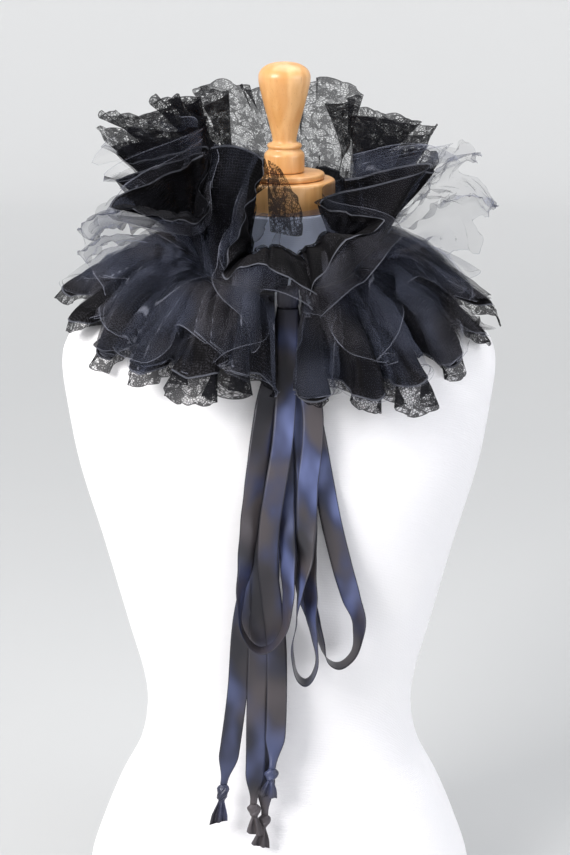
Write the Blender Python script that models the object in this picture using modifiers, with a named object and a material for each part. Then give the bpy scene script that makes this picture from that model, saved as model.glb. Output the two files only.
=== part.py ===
"""Ruff collar on a dress form.

A double ruffle of lace, mesh and tulle, gathered along its middle onto a band, is worn round
the neck of a limbless dress form and tied in front with satin ribbons.
Metres, +Z up, the front at -Y. The origin is the middle of the form's flat base.
Azimuths are in degrees round the neck: 0 in front, 90 at +X, 180 behind, 270 at -X.
"""
import math
from collections import namedtuple

import bmesh
import bpy
import numpy as np
from mathutils import Matrix

# Driving dimensions of the dress form
NECK_TOP = 0.690            # height of the top of the cloth neck
WOOD_SHIFT = 0.005          # the turned wood stands this far to +X of the form's middle
BLOCK_RADIUS = 0.045
BLOCK_HEIGHT = 0.027
DISC_RADIUS = 0.0355
DISC_HEIGHT = 0.0055
FINIAL_HEIGHT = 0.096
WOOD_EDGE = 0.0018          # how far the wood's top edges are turned off
FORM_SQUARE = 2.3           # the form's sections are superellipses of this power
FORM_SIDES = 32
TURNED_SIDES = 22

# Driving dimensions of the cloth
WALL = 0.001                # wall of each cloth layer
LAYER_STEP = 0.0013         # from the middle of one layer to the middle of the next
TOUCH = 0.0003              # gap between touching pieces
BAND_THICK = 0.005
BAND_TALL = 0.009
BAND_FRONT_HEIGHT = 0.628   # height of the middle of the band in front
BAND_BACK_HEIGHT = 0.676
TIE_AZIMUTH = 7.0           # the band opens here
BAND_OPEN = 10.0            # half of the band's opening, in degrees
ROOT_RISE = 0.0027          # from the middle of the band to the mesh of either ruffle
FOLD_GROWTH = 1.4           # how the folds open from the band to the hem
LOOP_FULLNESS = 1.7         # how round a fold's end is blown
RUN_FULLNESS = 0.9          # and how straight the cloth runs from one fold to the next
LEAST_PAST = 0.001          # the least that lace or tulle reaches past the mesh's hem
LEAST_ROOT = 7.0            # the least that two rows of a ruffle are apart at the band, in degrees
SHARPEST = 0.6              # a fold's two sides are offset as if it were no sharper than this
HEM_STEPS = (0.0, 0.5, 1.0)                 # places across the round end of each fold
CLOTH_STEPS = (0.0, 1 / 3, 2 / 3, 1.0)      # places from the band to the hem
BAND_SECTIONS = 28
RIBBON_WIDTH = 0.018
RIBBON_WALL = 0.001
CHEST_LOW = 0.45            # above this the ribbons lie on the rounded chest
CLOSEST = 0.2               # sections of a ribbon closer than this share of a row are one

# A row for each level of the form: half width, depth in front of and behind the middle
Section = namedtuple("Section", "height half_width front back")
FORM = [
    Section(0.000, 0.182, 0.106, 0.124),
    Section(0.010, 0.186, 0.109, 0.127),
    Section(0.054, 0.183, 0.107, 0.130),
    Section(0.092, 0.171, 0.102, 0.128),
    Section(0.134, 0.154, 0.095, 0.120),
    Section(0.176, 0.133, 0.088, 0.104),
    Section(0.218, 0.125, 0.085, 0.092),
    Section(0.254, 0.128, 0.087, 0.090),
    Section(0.304, 0.141, 0.093, 0.094),
    Section(0.389, 0.163, 0.103, 0.104),
    Section(0.457, 0.182, 0.108, 0.110),
    Section(0.514, 0.192, 0.104, 0.110),
    Section(0.550, 0.196, 0.096, 0.104),
    Section(0.574, 0.191, 0.088, 0.096),
    Section(0.592, 0.172, 0.079, 0.088),
    Section(0.606, 0.140, 0.070, 0.081),
    Section(0.620, 0.104, 0.062, 0.074),
    Section(0.634, 0.074, 0.056, 0.066),
    Section(0.650, 0.059, 0.051, 0.058),
    Section(0.670, 0.051, 0.048, 0.051),
    Section(0.690, 0.0475, 0.0465, 0.0475),
]

# A row for each level of the finial below its dome: widest, taper, neck, bead and foot
Turning = namedtuple("Turning", "radius height")
FINIAL_TAPER = [
    Turning(0.0229, 0.0830),
    Turning(0.0222, 0.0760),
    Turning(0.0178, 0.0580),
    Turning(0.0135, 0.0420),
    Turning(0.0108, 0.0300),
    Turning(0.0108, 0.0265),
    Turning(0.0151, 0.0245),
    Turning(0.0151, 0.0210),
    Turning(0.0140, 0.0200),
    Turning(0.0178, 0.0170),
    Turning(0.0178, 0.0000),
]

# A row for each fold of a ruffle's hem, in order round the neck: where the mesh's hem stands,
# half the width of the fold's round end, how far the cloth bows up and sideways on its way
# there, and how far the lace and the tulle reach past it
Fold = namedtuple("Fold", "azimuth reach height round arch lean lace tulle")
UPPER_FOLDS = [
    Fold(9.6, 0.141, 0.647, 0.002, 0.020, 0.000, 0.004, 0.012),
    Fold(19, 0.143, 0.668, 0.008, 0.018, 0.000, 0.006, 0.012),
    Fold(38, 0.138, 0.699, 0.007, 0.012, 0.000, 0.006, 0.028),
    Fold(35, 0.070, 0.708, 0.006, 0.000, 0.000, 0.012, 0.004),
    Fold(59, 0.140, 0.737, 0.009, -0.014, 0.000, 0.010, 0.022),
    Fold(59, 0.074, 0.727, 0.006, -0.004, 0.000, 0.016, 0.004),
    Fold(81, 0.140, 0.744, 0.010, -0.010, 0.000, 0.014, 0.018),
    Fold(85, 0.078, 0.740, 0.006, 0.004, 0.000, 0.026, 0.006),
    Fold(103, 0.132, 0.740, 0.010, -0.006, 0.000, 0.018, 0.012),
    Fold(109, 0.084, 0.740, 0.007, 0.000, 0.000, 0.030, 0.006),
    Fold(120, 0.120, 0.741, 0.010, 0.000, 0.000, 0.028, 0.004),
    Fold(133, 0.086, 0.741, 0.007, 0.000, 0.000, 0.036, 0.004),
    Fold(144, 0.114, 0.743, 0.009, 0.000, 0.000, 0.042, 0.004),
    Fold(156, 0.121, 0.747, 0.011, 0.000, 0.000, 0.052, 0.004),
    Fold(168, 0.114, 0.746, 0.009, 0.000, 0.000, 0.052, 0.004),
    Fold(180, 0.086, 0.746, 0.007, 0.000, 0.000, 0.046, 0.004),
    Fold(191, 0.106, 0.752, 0.008, 0.000, 0.000, 0.042, 0.004),
    Fold(202, 0.112, 0.757, 0.010, 0.000, 0.000, 0.044, 0.008),
    Fold(213, 0.106, 0.754, 0.008, 0.000, 0.000, 0.040, 0.010),
    Fold(223, 0.080, 0.752, 0.006, 0.000, 0.000, 0.036, 0.004),
    Fold(231, 0.112, 0.756, 0.009, 0.002, 0.000, 0.034, 0.006),
    Fold(241, 0.075, 0.752, 0.006, 0.002, 0.000, 0.032, 0.006),
    Fold(255, 0.122, 0.752, 0.010, 0.004, 0.000, 0.034, 0.008),
    Fold(257, 0.068, 0.756, 0.006, 0.004, 0.000, 0.026, 0.006),
    Fold(273, 0.134, 0.740, 0.009, 0.004, 0.000, 0.030, 0.008),
    Fold(279, 0.068, 0.744, 0.006, 0.004, 0.000, 0.022, 0.006),
    Fold(286, 0.142, 0.722, 0.007, 0.006, 0.000, 0.020, 0.006),
    Fold(294, 0.072, 0.742, 0.006, 0.008, 0.000, 0.006, 0.004),
    Fold(297, 0.156, 0.708, 0.007, 0.016, 0.004, 0.006, 0.008),
    Fold(323, 0.120, 0.697, 0.008, 0.016, -0.002, 0.004, 0.006),
    Fold(320, 0.090, 0.752, 0.007, 0.000, -0.004, 0.004, 0.004),
    Fold(341, 0.074, 0.746, 0.009, 0.000, 0.000, 0.010, 0.006),
    Fold(346, 0.112, 0.705, 0.008, 0.016, 0.006, 0.008, 0.008),
    Fold(340, 0.130, 0.660, 0.008, 0.018, 0.008, 0.004, 0.014),
    Fold(347, 0.138, 0.664, 0.006, 0.020, 0.002, 0.004, 0.040),
    Fold(356, 0.141, 0.665, 0.006, 0.018, 0.000, 0.004, 0.014),
    Fold(367, 0.143, 0.648, 0.002, 0.018, 0.000, 0.004, 0.018),
]
LOWER_FOLDS = [
    Fold(7, 0.130, 0.556, 0.002, 0.012, 0.000, 0.004, 0.000),
    Fold(13, 0.146, 0.553, 0.009, 0.014, 0.000, 0.004, 0.002),
    Fold(21, 0.126, 0.562, 0.007, 0.010, 0.000, 0.006, 0.004),
    Fold(30, 0.158, 0.555, 0.013, 0.014, 0.000, 0.010, 0.006),
    Fold(37, 0.132, 0.564, 0.006, 0.010, 0.000, 0.012, 0.004),
    Fold(46, 0.162, 0.562, 0.015, 0.016, 0.000, 0.026, 0.004),
    Fold(56, 0.142, 0.576, 0.006, 0.012, 0.000, 0.016, 0.004),
    Fold(63, 0.172, 0.574, 0.011, 0.018, 0.000, 0.014, 0.008),
    Fold(70, 0.150, 0.603, 0.006, 0.014, 0.000, 0.003, 0.006),
    Fold(77, 0.180, 0.588, 0.010, 0.018, 0.000, 0.010, 0.010),
    Fold(83, 0.152, 0.611, 0.005, 0.014, 0.000, 0.003, 0.004),
    Fold(89, 0.186, 0.604, 0.010, 0.018, 0.000, 0.018, 0.002),
    Fold(98, 0.150, 0.618, 0.007, 0.014, 0.000, 0.004, 0.004),
    Fold(109, 0.182, 0.608, 0.015, 0.018, 0.000, 0.016, 0.006),
    Fold(122, 0.148, 0.614, 0.007, 0.014, 0.000, 0.014, 0.004),
    Fold(134, 0.172, 0.603, 0.014, 0.018, 0.000, 0.018, 0.008),
    Fold(147, 0.146, 0.610, 0.008, 0.014, 0.000, 0.014, 0.004),
    Fold(160, 0.170, 0.597, 0.016, 0.018, 0.000, 0.020, 0.004),
    Fold(174, 0.142, 0.606, 0.008, 0.014, 0.000, 0.016, 0.004),
    Fold(186, 0.166, 0.595, 0.014, 0.018, 0.000, 0.016, 0.008),
    Fold(199, 0.144, 0.606, 0.008, 0.014, 0.000, 0.014, 0.004),
    Fold(213, 0.170, 0.598, 0.016, 0.018, 0.000, 0.018, 0.004),
    Fold(227, 0.146, 0.610, 0.007, 0.014, 0.000, 0.014, 0.004),
    Fold(240, 0.175, 0.608, 0.014, 0.018, 0.000, 0.014, 0.006),
    Fold(254, 0.152, 0.621, 0.006, 0.014, 0.000, 0.004, 0.004),
    Fold(266, 0.189, 0.614, 0.012, 0.018, 0.000, 0.010, 0.004),
    Fold(275, 0.156, 0.612, 0.006, 0.014, 0.000, 0.003, 0.004),
    Fold(282, 0.180, 0.596, 0.010, 0.018, 0.000, 0.010, 0.008),
    Fold(289, 0.152, 0.601, 0.006, 0.014, 0.000, 0.003, 0.004),
    Fold(297, 0.173, 0.581, 0.011, 0.018, 0.000, 0.012, 0.004),
    Fold(305, 0.146, 0.583, 0.006, 0.014, 0.000, 0.012, 0.004),
    Fold(312, 0.160, 0.570, 0.010, 0.016, 0.000, 0.012, 0.006),
    Fold(321, 0.134, 0.577, 0.006, 0.012, 0.000, 0.016, 0.004),
    Fold(332, 0.152, 0.573, 0.016, 0.014, 0.000, 0.026, 0.004),
    Fold(341, 0.124, 0.577, 0.007, 0.010, 0.000, 0.028, 0.004),
    Fold(347, 0.150, 0.577, 0.009, 0.014, 0.000, 0.010, 0.008),
    Fold(353, 0.130, 0.570, 0.006, 0.010, 0.000, 0.006, 0.004),
    Fold(359, 0.132, 0.558, 0.002, 0.012, 0.000, 0.004, 0.002),
]

# Each layer: its place outwards from the mesh, which column gives its reach past the mesh's
# hem, and how that part droops
Layer = namedtuple("Layer", "name step past droop colour roughness")
LAYERS = [
    Layer("lace", -1, "lace", 0.3, (0.012, 0.011, 0.012), 0.75),
    Layer("mesh", 0, None, 0.0, (0.022, 0.020, 0.021), 0.60),
    Layer("tulle", 1, "tulle", 1.0, (0.055, 0.062, 0.075), 0.80),
]

# Ribbons: a row for each place along the centre line. The depth is how far it hangs in front
# of the chest's drape line, and the turn is 0 where it lies flat and 90 where it is edge on
Place = namedtuple("Place", "x depth z turn")
RIBBONS = {
    "ribbon_loop_left": [
        Place(0.008, 0.0100, 0.6165, 0),
        Place(0.003, 0.0100, 0.5850, 0),
        Place(-0.009, 0.0100, 0.5470, 0),
        Place(-0.014, 0.0105, 0.5200, 0),
        Place(-0.019, 0.0115, 0.4840, -10),
        Place(-0.0245, 0.0130, 0.4400, -25),
        Place(-0.029, 0.0150, 0.4000, -40),
        Place(-0.034, 0.0165, 0.3680, -70),
        Place(-0.033, 0.0175, 0.3430, -85),
        Place(-0.026, 0.0175, 0.3270, -88),
        Place(-0.014, 0.0175, 0.3210, -90),
        Place(0.000, 0.0175, 0.3300, -85),
        Place(0.008, 0.0170, 0.3550, -65),
        Place(0.0085, 0.0160, 0.3850, -50),
        Place(0.0065, 0.0140, 0.4200, -35),
        Place(0.005, 0.0115, 0.4550, -15),
        Place(0.005, 0.0095, 0.4950, 0),
        Place(0.006, 0.0085, 0.5450, 0),
        Place(0.007, 0.0085, 0.5850, 0),
        Place(0.008, 0.0085, 0.6165, 0),
    ],
    "ribbon_loop_middle": [
        Place(0.008, 0.0130, 0.6165, 0),
        Place(0.014, 0.0130, 0.5900, 0),
        Place(0.024, 0.0135, 0.5600, 0),
        Place(0.029, 0.0150, 0.5370, 0),
        Place(0.029, 0.0175, 0.5090, 0),
        Place(0.025, 0.0185, 0.4720, 0),
        Place(0.024, 0.0190, 0.4350, 15),
        Place(0.022, 0.0195, 0.4000, 50),
        Place(0.0185, 0.0195, 0.3700, 80),
        Place(0.014, 0.0195, 0.3420, 95),
        Place(0.0125, 0.0195, 0.3140, 95),
        Place(0.016, 0.0195, 0.2960, 92),
        Place(0.0235, 0.0195, 0.2890, 90),
        Place(0.0305, 0.0195, 0.2960, 92),
        Place(0.0325, 0.0190, 0.3180, 100),
        Place(0.029, 0.0185, 0.3500, 120),
        Place(0.026, 0.0170, 0.3850, 140),
        Place(0.0245, 0.0150, 0.4300, 165),
        Place(0.024, 0.0130, 0.4800, 180),
        Place(0.018, 0.0115, 0.5500, 180),
        Place(0.008, 0.0115, 0.6165, 180),
    ],
    "ribbon_loop_right": [
        Place(0.008, 0.0071, 0.6165, 0),
        Place(0.012, 0.0071, 0.5850, 0),
        Place(0.022, 0.0070, 0.5500, 0),
        Place(0.030, 0.0070, 0.5200, 0),
        Place(0.039, 0.0058, 0.4710, 0),
        Place(0.046, 0.0050, 0.4340, 0),
        Place(0.055, 0.0040, 0.3960, 0),
        Place(0.064, 0.0035, 0.3640, 20),
        Place(0.071, 0.0030, 0.3350, 55),
        Place(0.0665, 0.0025, 0.3110, 80),
        Place(0.054, 0.0025, 0.3000, 90),
        Place(0.041, 0.0025, 0.3090, 100),
        Place(0.033, 0.0025, 0.3340, 125),
        Place(0.027, 0.0030, 0.3570, 145),
        Place(0.022, 0.0030, 0.3800, 165),
        Place(0.020, 0.0030, 0.4100, 180),
        Place(0.020, 0.0032, 0.4500, 180),
        Place(0.019, 0.0042, 0.5000, 180),
        Place(0.017, 0.0054, 0.5300, 180),
        Place(0.012, 0.0056, 0.5600, 180),
        Place(0.008, 0.0056, 0.6165, 180),
    ],
    "ribbon_tail_a": [
        Place(0.008, 0.0027, 0.6165, 0),
        Place(-0.002, 0.0027, 0.5600, 0),
        Place(-0.012, 0.0027, 0.4800, 0),
        Place(-0.021, 0.0027, 0.3990, 0),
        Place(-0.032, 0.0027, 0.3400, 0),
        Place(-0.037, 0.0027, 0.2750, 0),
        Place(-0.044, 0.0027, 0.2200, 0),
        Place(-0.050, 0.0027, 0.1840, 0),
    ],
    "ribbon_tail_b": [
        Place(0.008, 0.0042, 0.6165, 0),
        Place(0.001, 0.0042, 0.5600, 0),
        Place(-0.007, 0.0042, 0.4800, 0),
        Place(-0.015, 0.0042, 0.3990, 0),
        Place(-0.018, 0.0042, 0.3150, 0),
        Place(-0.020, 0.0042, 0.2570, 0),
        Place(-0.021, 0.0042, 0.2020, 0),
        Place(-0.023, 0.0055, 0.1660, 0),
    ],
    "ribbon_tail_c": [
        Place(0.008, 0.0145, 0.6165, 0),
        Place(0.008, 0.0148, 0.6000, 0),
        Place(0.007, 0.0160, 0.5700, 0),
        Place(0.006, 0.0180, 0.5440, 0),
        Place(0.003, 0.0200, 0.5070, 0),
        Place(-0.003, 0.0205, 0.4700, 0),
        Place(-0.008, 0.0180, 0.4330, 0),
        Place(-0.0095, 0.0110, 0.3950, 0),
        Place(-0.006, 0.0070, 0.3600, 0),
        Place(-0.002, 0.0056, 0.3160, 0),
        Place(-0.002, 0.0056, 0.2580, 0),
        Place(-0.004, 0.0066, 0.2210, 0),
        Place(-0.006, 0.0100, 0.2030, 0),
    ],
    "ribbon_tail_d": [
        Place(0.008, 0.0012, 0.6165, 0),
        Place(0.003, 0.0014, 0.5600, 0),
        Place(-0.003, 0.0012, 0.4800, 0),
        Place(-0.008, 0.0010, 0.4000, 0),
        Place(-0.009, 0.0010, 0.3200, 0),
        Place(-0.010, 0.0008, 0.2650, 0),
        Place(-0.012, -0.0006, 0.2070, 0),
        Place(-0.013, -0.0006, 0.1520, 0),
    ],
}
# The knot at the end of each tail: how far its flared tip leans to +X and falls
EndKnot = namedtuple("EndKnot", "tail tip_lean tip_fall")
END_KNOTS = {
    "end_knot_a": EndKnot("ribbon_tail_a", -0.005, 0.037),
    "end_knot_b": EndKnot("ribbon_tail_b", 0.002, 0.030),
    "end_knot_c": EndKnot("ribbon_tail_c", -0.004, 0.027),
    "end_knot_d": EndKnot("ribbon_tail_d", -0.004, 0.031),
}
# A row for each level of an end knot, from the ribbon down: its place along the knot, its half
# width and its half depth
KnotLevel = namedtuple("KnotLevel", "along half_width half_depth")
KNOT_LEVELS = [
    KnotLevel(0.00, 0.0032, 0.0016),
    KnotLevel(0.08, 0.0052, 0.0036),
    KnotLevel(0.20, 0.0060, 0.0042),
    KnotLevel(0.34, 0.0050, 0.0036),
    KnotLevel(0.42, 0.0030, 0.0016),
    KnotLevel(0.60, 0.0050, 0.0012),
    KnotLevel(0.80, 0.0068, 0.0010),
    KnotLevel(1.00, 0.0078, 0.0008),
]
BOW_KNOT = (0.0195, 0.0185, 0.0195)     # width, depth and height of the bow's knot
BOW_KNOT_EDGE = 0.0035

UP = np.array([0.0, 0.0, 1.0])


# ---------------------------------------------------------------- scene and materials

def clear_scene():
    for item in list(bpy.data.objects):
        bpy.data.objects.remove(item, do_unlink=True)


def material(name, colour, roughness, metallic=0.0):
    made = bpy.data.materials.new(name)
    made.use_nodes = True
    shader = made.node_tree.nodes["Principled BSDF"]
    shader.inputs["Base Color"].default_value = (*colour, 1.0)
    shader.inputs["Roughness"].default_value = roughness
    shader.inputs["Metallic"].default_value = metallic
    return made


def add_mesh(name, points, faces, finish, parts):
    """Make one named object from points and faces, shaded smooth, with its faces outward."""
    mesh = bpy.data.meshes.new(name)
    mesh.from_pydata([tuple(point) for point in points], [], faces)
    work = bmesh.new()
    work.from_mesh(mesh)
    bmesh.ops.recalc_face_normals(work, faces=work.faces)
    work.to_mesh(mesh)
    work.free()
    mesh.shade_smooth()
    mesh.set_sharp_from_angle(angle=math.radians(50))
    mesh.materials.append(finish)
    made = bpy.data.objects.new(name, mesh)
    parts.objects.link(made)
    return made


# ---------------------------------------------------------------- shared shapes

def column(rows, name):
    return np.array([getattr(row, name) for row in rows], dtype=float)


def smooth_rows(values, at):
    """Catmull-Rom curve through the rows of values, read at fractional row numbers."""
    values = np.asarray(values, dtype=float)
    last = len(values) - 1
    at = np.clip(at, 0.0, last)
    low = np.minimum(at.astype(int), last - 1)
    part = (at - low).reshape((-1,) + (1,) * (values.ndim - 1))
    before = values[np.maximum(low - 1, 0)]
    start = values[low]
    end = values[low + 1]
    after = values[np.minimum(low + 2, last)]
    leave = (end - before) / 2
    arrive = (after - start) / 2
    return ((2 * part**3 - 3 * part**2 + 1) * start + (part**3 - 2 * part**2 + part) * leave
            + (3 * part**2 - 2 * part**3) * end + (part**3 - part**2) * arrive)


def unit(vectors):
    length = np.linalg.norm(vectors, axis=-1, keepdims=True)
    return vectors / np.maximum(length, 1e-9)


def round_neck(azimuth, reach, height):
    """Points at an azimuth in degrees, a distance from the neck's middle and a height."""
    turn = np.radians(azimuth)
    return np.stack([reach * np.sin(turn), -reach * np.cos(turn), height], axis=-1)


def loft(rings):
    """Triangles of a closed body through rings of equal length, with its two ends capped.

    The four points between two steps of two rings are split along their shorter diagonal.
    """
    count = len(rings[0])
    points = [np.array(point) for ring in rings for point in ring]
    faces = [tuple(range(count)), tuple(range(len(points) - count, len(points)))]
    for level in range(len(rings) - 1):
        base = level * count
        for step in range(count):
            after = (step + 1) % count
            a, b, c, d = base + step, base + after, base + count + after, base + count + step
            if np.linalg.norm(points[a] - points[c]) <= np.linalg.norm(points[b] - points[d]):
                faces += [(a, b, c), (a, c, d)]
            else:
                faces += [(a, b, d), (b, c, d)]
    return points, faces


# ---------------------------------------------------------------- dress form

def form_radius(height, azimuth):
    """Distance from the form's middle line to its surface."""
    levels = column(FORM, "height")
    wide = np.interp(height, levels, column(FORM, "half_width"))
    front = np.interp(height, levels, column(FORM, "front"))
    back = np.interp(height, levels, column(FORM, "back"))
    turn = np.radians(azimuth)
    deep = np.where(np.cos(turn) > 0, front, back)
    across = np.abs(np.sin(turn) / wide) ** FORM_SQUARE
    along = np.abs(np.cos(turn) / deep) ** FORM_SQUARE
    return (across + along) ** (-1 / FORM_SQUARE)


def form_body(parts, finish):
    """The torso and neck, lofted through one ring for each level of the form."""
    azimuth = np.arange(FORM_SIDES) * 360.0 / FORM_SIDES
    rings = []
    for row in FORM:
        reach = form_radius(row.height, azimuth)
        rings.append(round_neck(azimuth, reach, np.full(FORM_SIDES, row.height)))
    points, faces = loft(rings)
    return add_mesh("form_body", points, faces, finish, parts)


def turned(name, profile, base, parts, finish):
    """A turned piece: its half outline, top to bottom, carried once round the neck's axis."""
    mesh = bpy.data.meshes.new(name)
    points = [(radius, 0.0, height) for radius, height in profile]
    mesh.from_pydata(points, [(step, step + 1) for step in range(len(points) - 1)], [])
    made = bpy.data.objects.new(name, mesh)
    made.location = (WOOD_SHIFT, 0.0, base)
    made.data.materials.append(finish)
    screw = made.modifiers.new("turning", "SCREW")
    screw.steps = TURNED_SIDES
    screw.render_steps = TURNED_SIDES
    screw.use_merge_vertices = True
    screw.merge_threshold = 0.00005
    screw.use_smooth_shade = True
    parts.objects.link(made)
    return made


def neck_wood(parts, finish):
    """The wooden neck block, the disc on it and the finial, each standing on the last."""
    block_base = NECK_TOP + TOUCH
    disc_base = block_base + BLOCK_HEIGHT + TOUCH
    finial_base = disc_base + DISC_HEIGHT + TOUCH
    block = [(0.0, BLOCK_HEIGHT), (BLOCK_RADIUS - 2 * WOOD_EDGE, BLOCK_HEIGHT),
             (BLOCK_RADIUS - WOOD_EDGE / 2, BLOCK_HEIGHT - WOOD_EDGE / 2),
             (BLOCK_RADIUS, BLOCK_HEIGHT - 2 * WOOD_EDGE), (BLOCK_RADIUS, 0.0), (0.0, 0.0)]
    disc = [(0.0, DISC_HEIGHT), (DISC_RADIUS - WOOD_EDGE, DISC_HEIGHT),
            (DISC_RADIUS, DISC_HEIGHT - WOOD_EDGE), (DISC_RADIUS, 0.0), (0.0, 0.0)]
    turned("neck_block", block, block_base, parts, finish)
    turned("neck_disc", disc, disc_base, parts, finish)
    turned("finial", finial_outline(), finial_base, parts, finish)


def finial_outline():
    """Half outline of the finial, top to bottom: a round dome, then the rows of its taper."""
    widest = FINIAL_TAPER[0]
    dome = FINIAL_HEIGHT - widest.height
    outline = [(0.0, FINIAL_HEIGHT)]
    for angle in range(72, 0, -18):
        turn = math.radians(angle)
        outline.append((widest.radius * math.cos(turn), widest.height + dome * math.sin(turn)))
    return outline + [(row.radius, row.height) for row in FINIAL_TAPER] + [(0.0, 0.0)]


# ---------------------------------------------------------------- gather band

def band_height(azimuth):
    """The band's middle, low in front and high behind."""
    middle = (BAND_FRONT_HEIGHT + BAND_BACK_HEIGHT) / 2
    swing = (BAND_BACK_HEIGHT - BAND_FRONT_HEIGHT) / 2
    return middle - swing * np.cos(np.radians(azimuth))


def band_reach(azimuth):
    """The band's middle, just clear of the neck at the band's lower edge."""
    low = band_height(azimuth) - BAND_TALL / 2
    return form_radius(low, azimuth) + TOUCH + BAND_THICK / 2


def root_reach(azimuth, side):
    """Where the mesh leaves the band's outer face.

    The upper ruffle stands up, so its lace lies between the mesh and the band. The lower one
    leaves the band straight out, with its layers one above another.
    """
    between = LAYER_STEP + WALL / 2 + TOUCH if side > 0 else WALL / 2
    return band_reach(azimuth) + BAND_THICK / 2 + TOUCH + between


def band_azimuths(count):
    return np.linspace(TIE_AZIMUTH + BAND_OPEN, TIE_AZIMUTH + 360.0 - BAND_OPEN, count)


def gather_band(parts, finish):
    """A rounded strip section carried round the neck from one side of the tie to the other."""
    rings = []
    section = [(-1, -0.7), (-0.6, -1), (0.6, -1), (1, -0.7), (1, 0.7), (0.6, 1), (-0.6, 1), (-1, 0.7)]
    for azimuth in band_azimuths(BAND_SECTIONS):
        reach = band_reach(azimuth)
        height = band_height(azimuth)
        ring = [round_neck(azimuth, reach + side * BAND_THICK / 2, height + rise * BAND_TALL / 2)
                for side, rise in section]
        rings.append(ring)
    points, faces = loft(rings)
    return add_mesh("gather_band", points, faces, finish, parts)


# ---------------------------------------------------------------- ruffles

def hem_controls(folds):
    """The folds' places, and two points for each, its rounding apart, along the hem's run."""
    places = round_neck(column(folds, "azimuth"), column(folds, "reach"), column(folds, "height"))
    before = np.vstack([places[:1], places[:-1]])
    after = np.vstack([places[1:], places[-1:]])
    half = unit(after - before) * column(folds, "round")[:, None]
    return np.stack([places - half, places + half], axis=1).reshape(-1, 3), places


def hem_curve(controls, at):
    """A hem through its controls: round loops at the folds and easy runs between them."""
    last = len(controls) - 1
    low = np.minimum(at.astype(int), last - 1)
    part = (at - low)[:, None]
    ahead = np.vstack([controls[1:], controls[-1:]])
    behind = np.vstack([controls[:1], controls[:-1]])
    heading = unit(ahead - behind)
    start = controls[low]
    end = controls[low + 1]
    chord = np.linalg.norm(end - start, axis=1, keepdims=True)
    fullness = np.where(low % 2 == 0, LOOP_FULLNESS, RUN_FULLNESS)[:, None]
    leave = heading[low] * chord * fullness
    arrive = heading[low + 1] * chord * fullness
    return ((2 * part**3 - 3 * part**2 + 1) * start + (part**3 - 2 * part**2 + part) * leave
            + (3 * part**2 - 2 * part**3) * end + (part**3 - part**2) * arrive)


def calmed(values, times):
    """The rows with their waves eased away by averaging each with its neighbours."""
    for _ in range(times):
        padded = np.concatenate([values[:1], values, values[-1:]])
        values = (padded[:-2] + 2 * padded[1:-1] + padded[2:]) / 4
    return values


def root_azimuth(folds, row):
    """Where the cloth of each row is sewn to the band: below its folds, and evenly spread."""
    first = TIE_AZIMUTH + BAND_OPEN
    last = TIE_AZIMUTH + 360.0 - BAND_OPEN
    even = np.linspace(first, last, len(folds))
    below = calmed(column(folds, "azimuth"), 3)
    least = np.arange(len(folds)) * LEAST_ROOT
    mixed = (even + np.clip(below, first, last)) / 2 - least
    mixed = np.maximum.accumulate(mixed) + least
    fitted = first + (mixed - mixed[0]) * (last - first) / (mixed[-1] - mixed[0])
    return np.interp(row, np.arange(len(folds)), fitted)


def ruffle_grid(folds, at, across, side):
    """Middle surface of a ruffle's mesh, hem samples by steps from the band to the hem.

    A point is the band's edge, plus its share of the way to the mean hem, plus the hem's wave
    grown by a power of that share, plus the cloth's bow, which is nought at both ends. side is
    1 for the upper ruffle and -1 for the lower.
    """
    controls, places = hem_controls(folds)
    hem = hem_curve(controls, at)
    row = at / at[-1] * (len(folds) - 1)
    mean = smooth_rows(calmed(places, 1), row)
    azimuth = root_azimuth(folds, row)
    root = round_neck(azimuth, root_reach(azimuth, side),
                      band_height(azimuth) + side * ROOT_RISE)
    arch = smooth_rows(column(folds, "arch"), row)[:, None] * UP
    lean = smooth_rows(column(folds, "lean"), row)[:, None] * round_neck(azimuth + 90, 1, 0 * azimuth)
    share = np.array(across)[None, :, None]
    return (root[:, None] + share * (mean - root)[:, None]
            + share**FOLD_GROWTH * (hem - mean)[:, None]
            + 4 * share * (1 - share) * (arch + lean)[:, None])


def miter_normals(grid, side):
    """Outward direction at each point, lengthened where the cloth bends sharply."""
    first = grid[1:, 1:] - grid[:-1, :-1]
    second = grid[:-1, 1:] - grid[1:, :-1]
    face = unit(np.cross(first, second)) * side
    wide = np.pad(face, ((1, 1), (1, 1), (0, 0)), mode="edge")
    near = np.stack([wide[:-1, :-1], wide[1:, :-1], wide[:-1, 1:], wide[1:, 1:]])
    mean = unit(near.sum(axis=0))
    least = (near * mean).sum(axis=-1).min(axis=0)
    return mean / np.clip(least, SHARPEST, 1.0)[..., None]


def past_hem(middle, free_side, extra, droop):
    """The row of points past the mesh's hem: straight on, drooping where the free side is low."""
    heading = unit(middle[:, -1] - middle[:, -2])
    low = np.maximum(-free_side[:, 2:], 0.0)
    return middle[:, -1] + extra * (heading + droop * low * free_side)


def cloth(name, grid, parts, finish):
    """A wall of cloth: an open surface through a grid of points, made solid both ways."""
    number = np.arange(grid.shape[0] * grid.shape[1]).reshape(grid.shape[:2])
    corners = number[:-1, :-1], number[1:, :-1], number[1:, 1:], number[:-1, 1:]
    a, b, c, d = (corner.ravel().tolist() for corner in corners)
    made = add_mesh(name, grid.reshape(-1, 3), [*zip(a, b, c), *zip(a, c, d)], finish, parts)
    wall = made.modifiers.new("wall", "SOLIDIFY")
    wall.thickness = WALL
    wall.offset = 0.0
    wall.use_quality_normals = True
    return made


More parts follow.
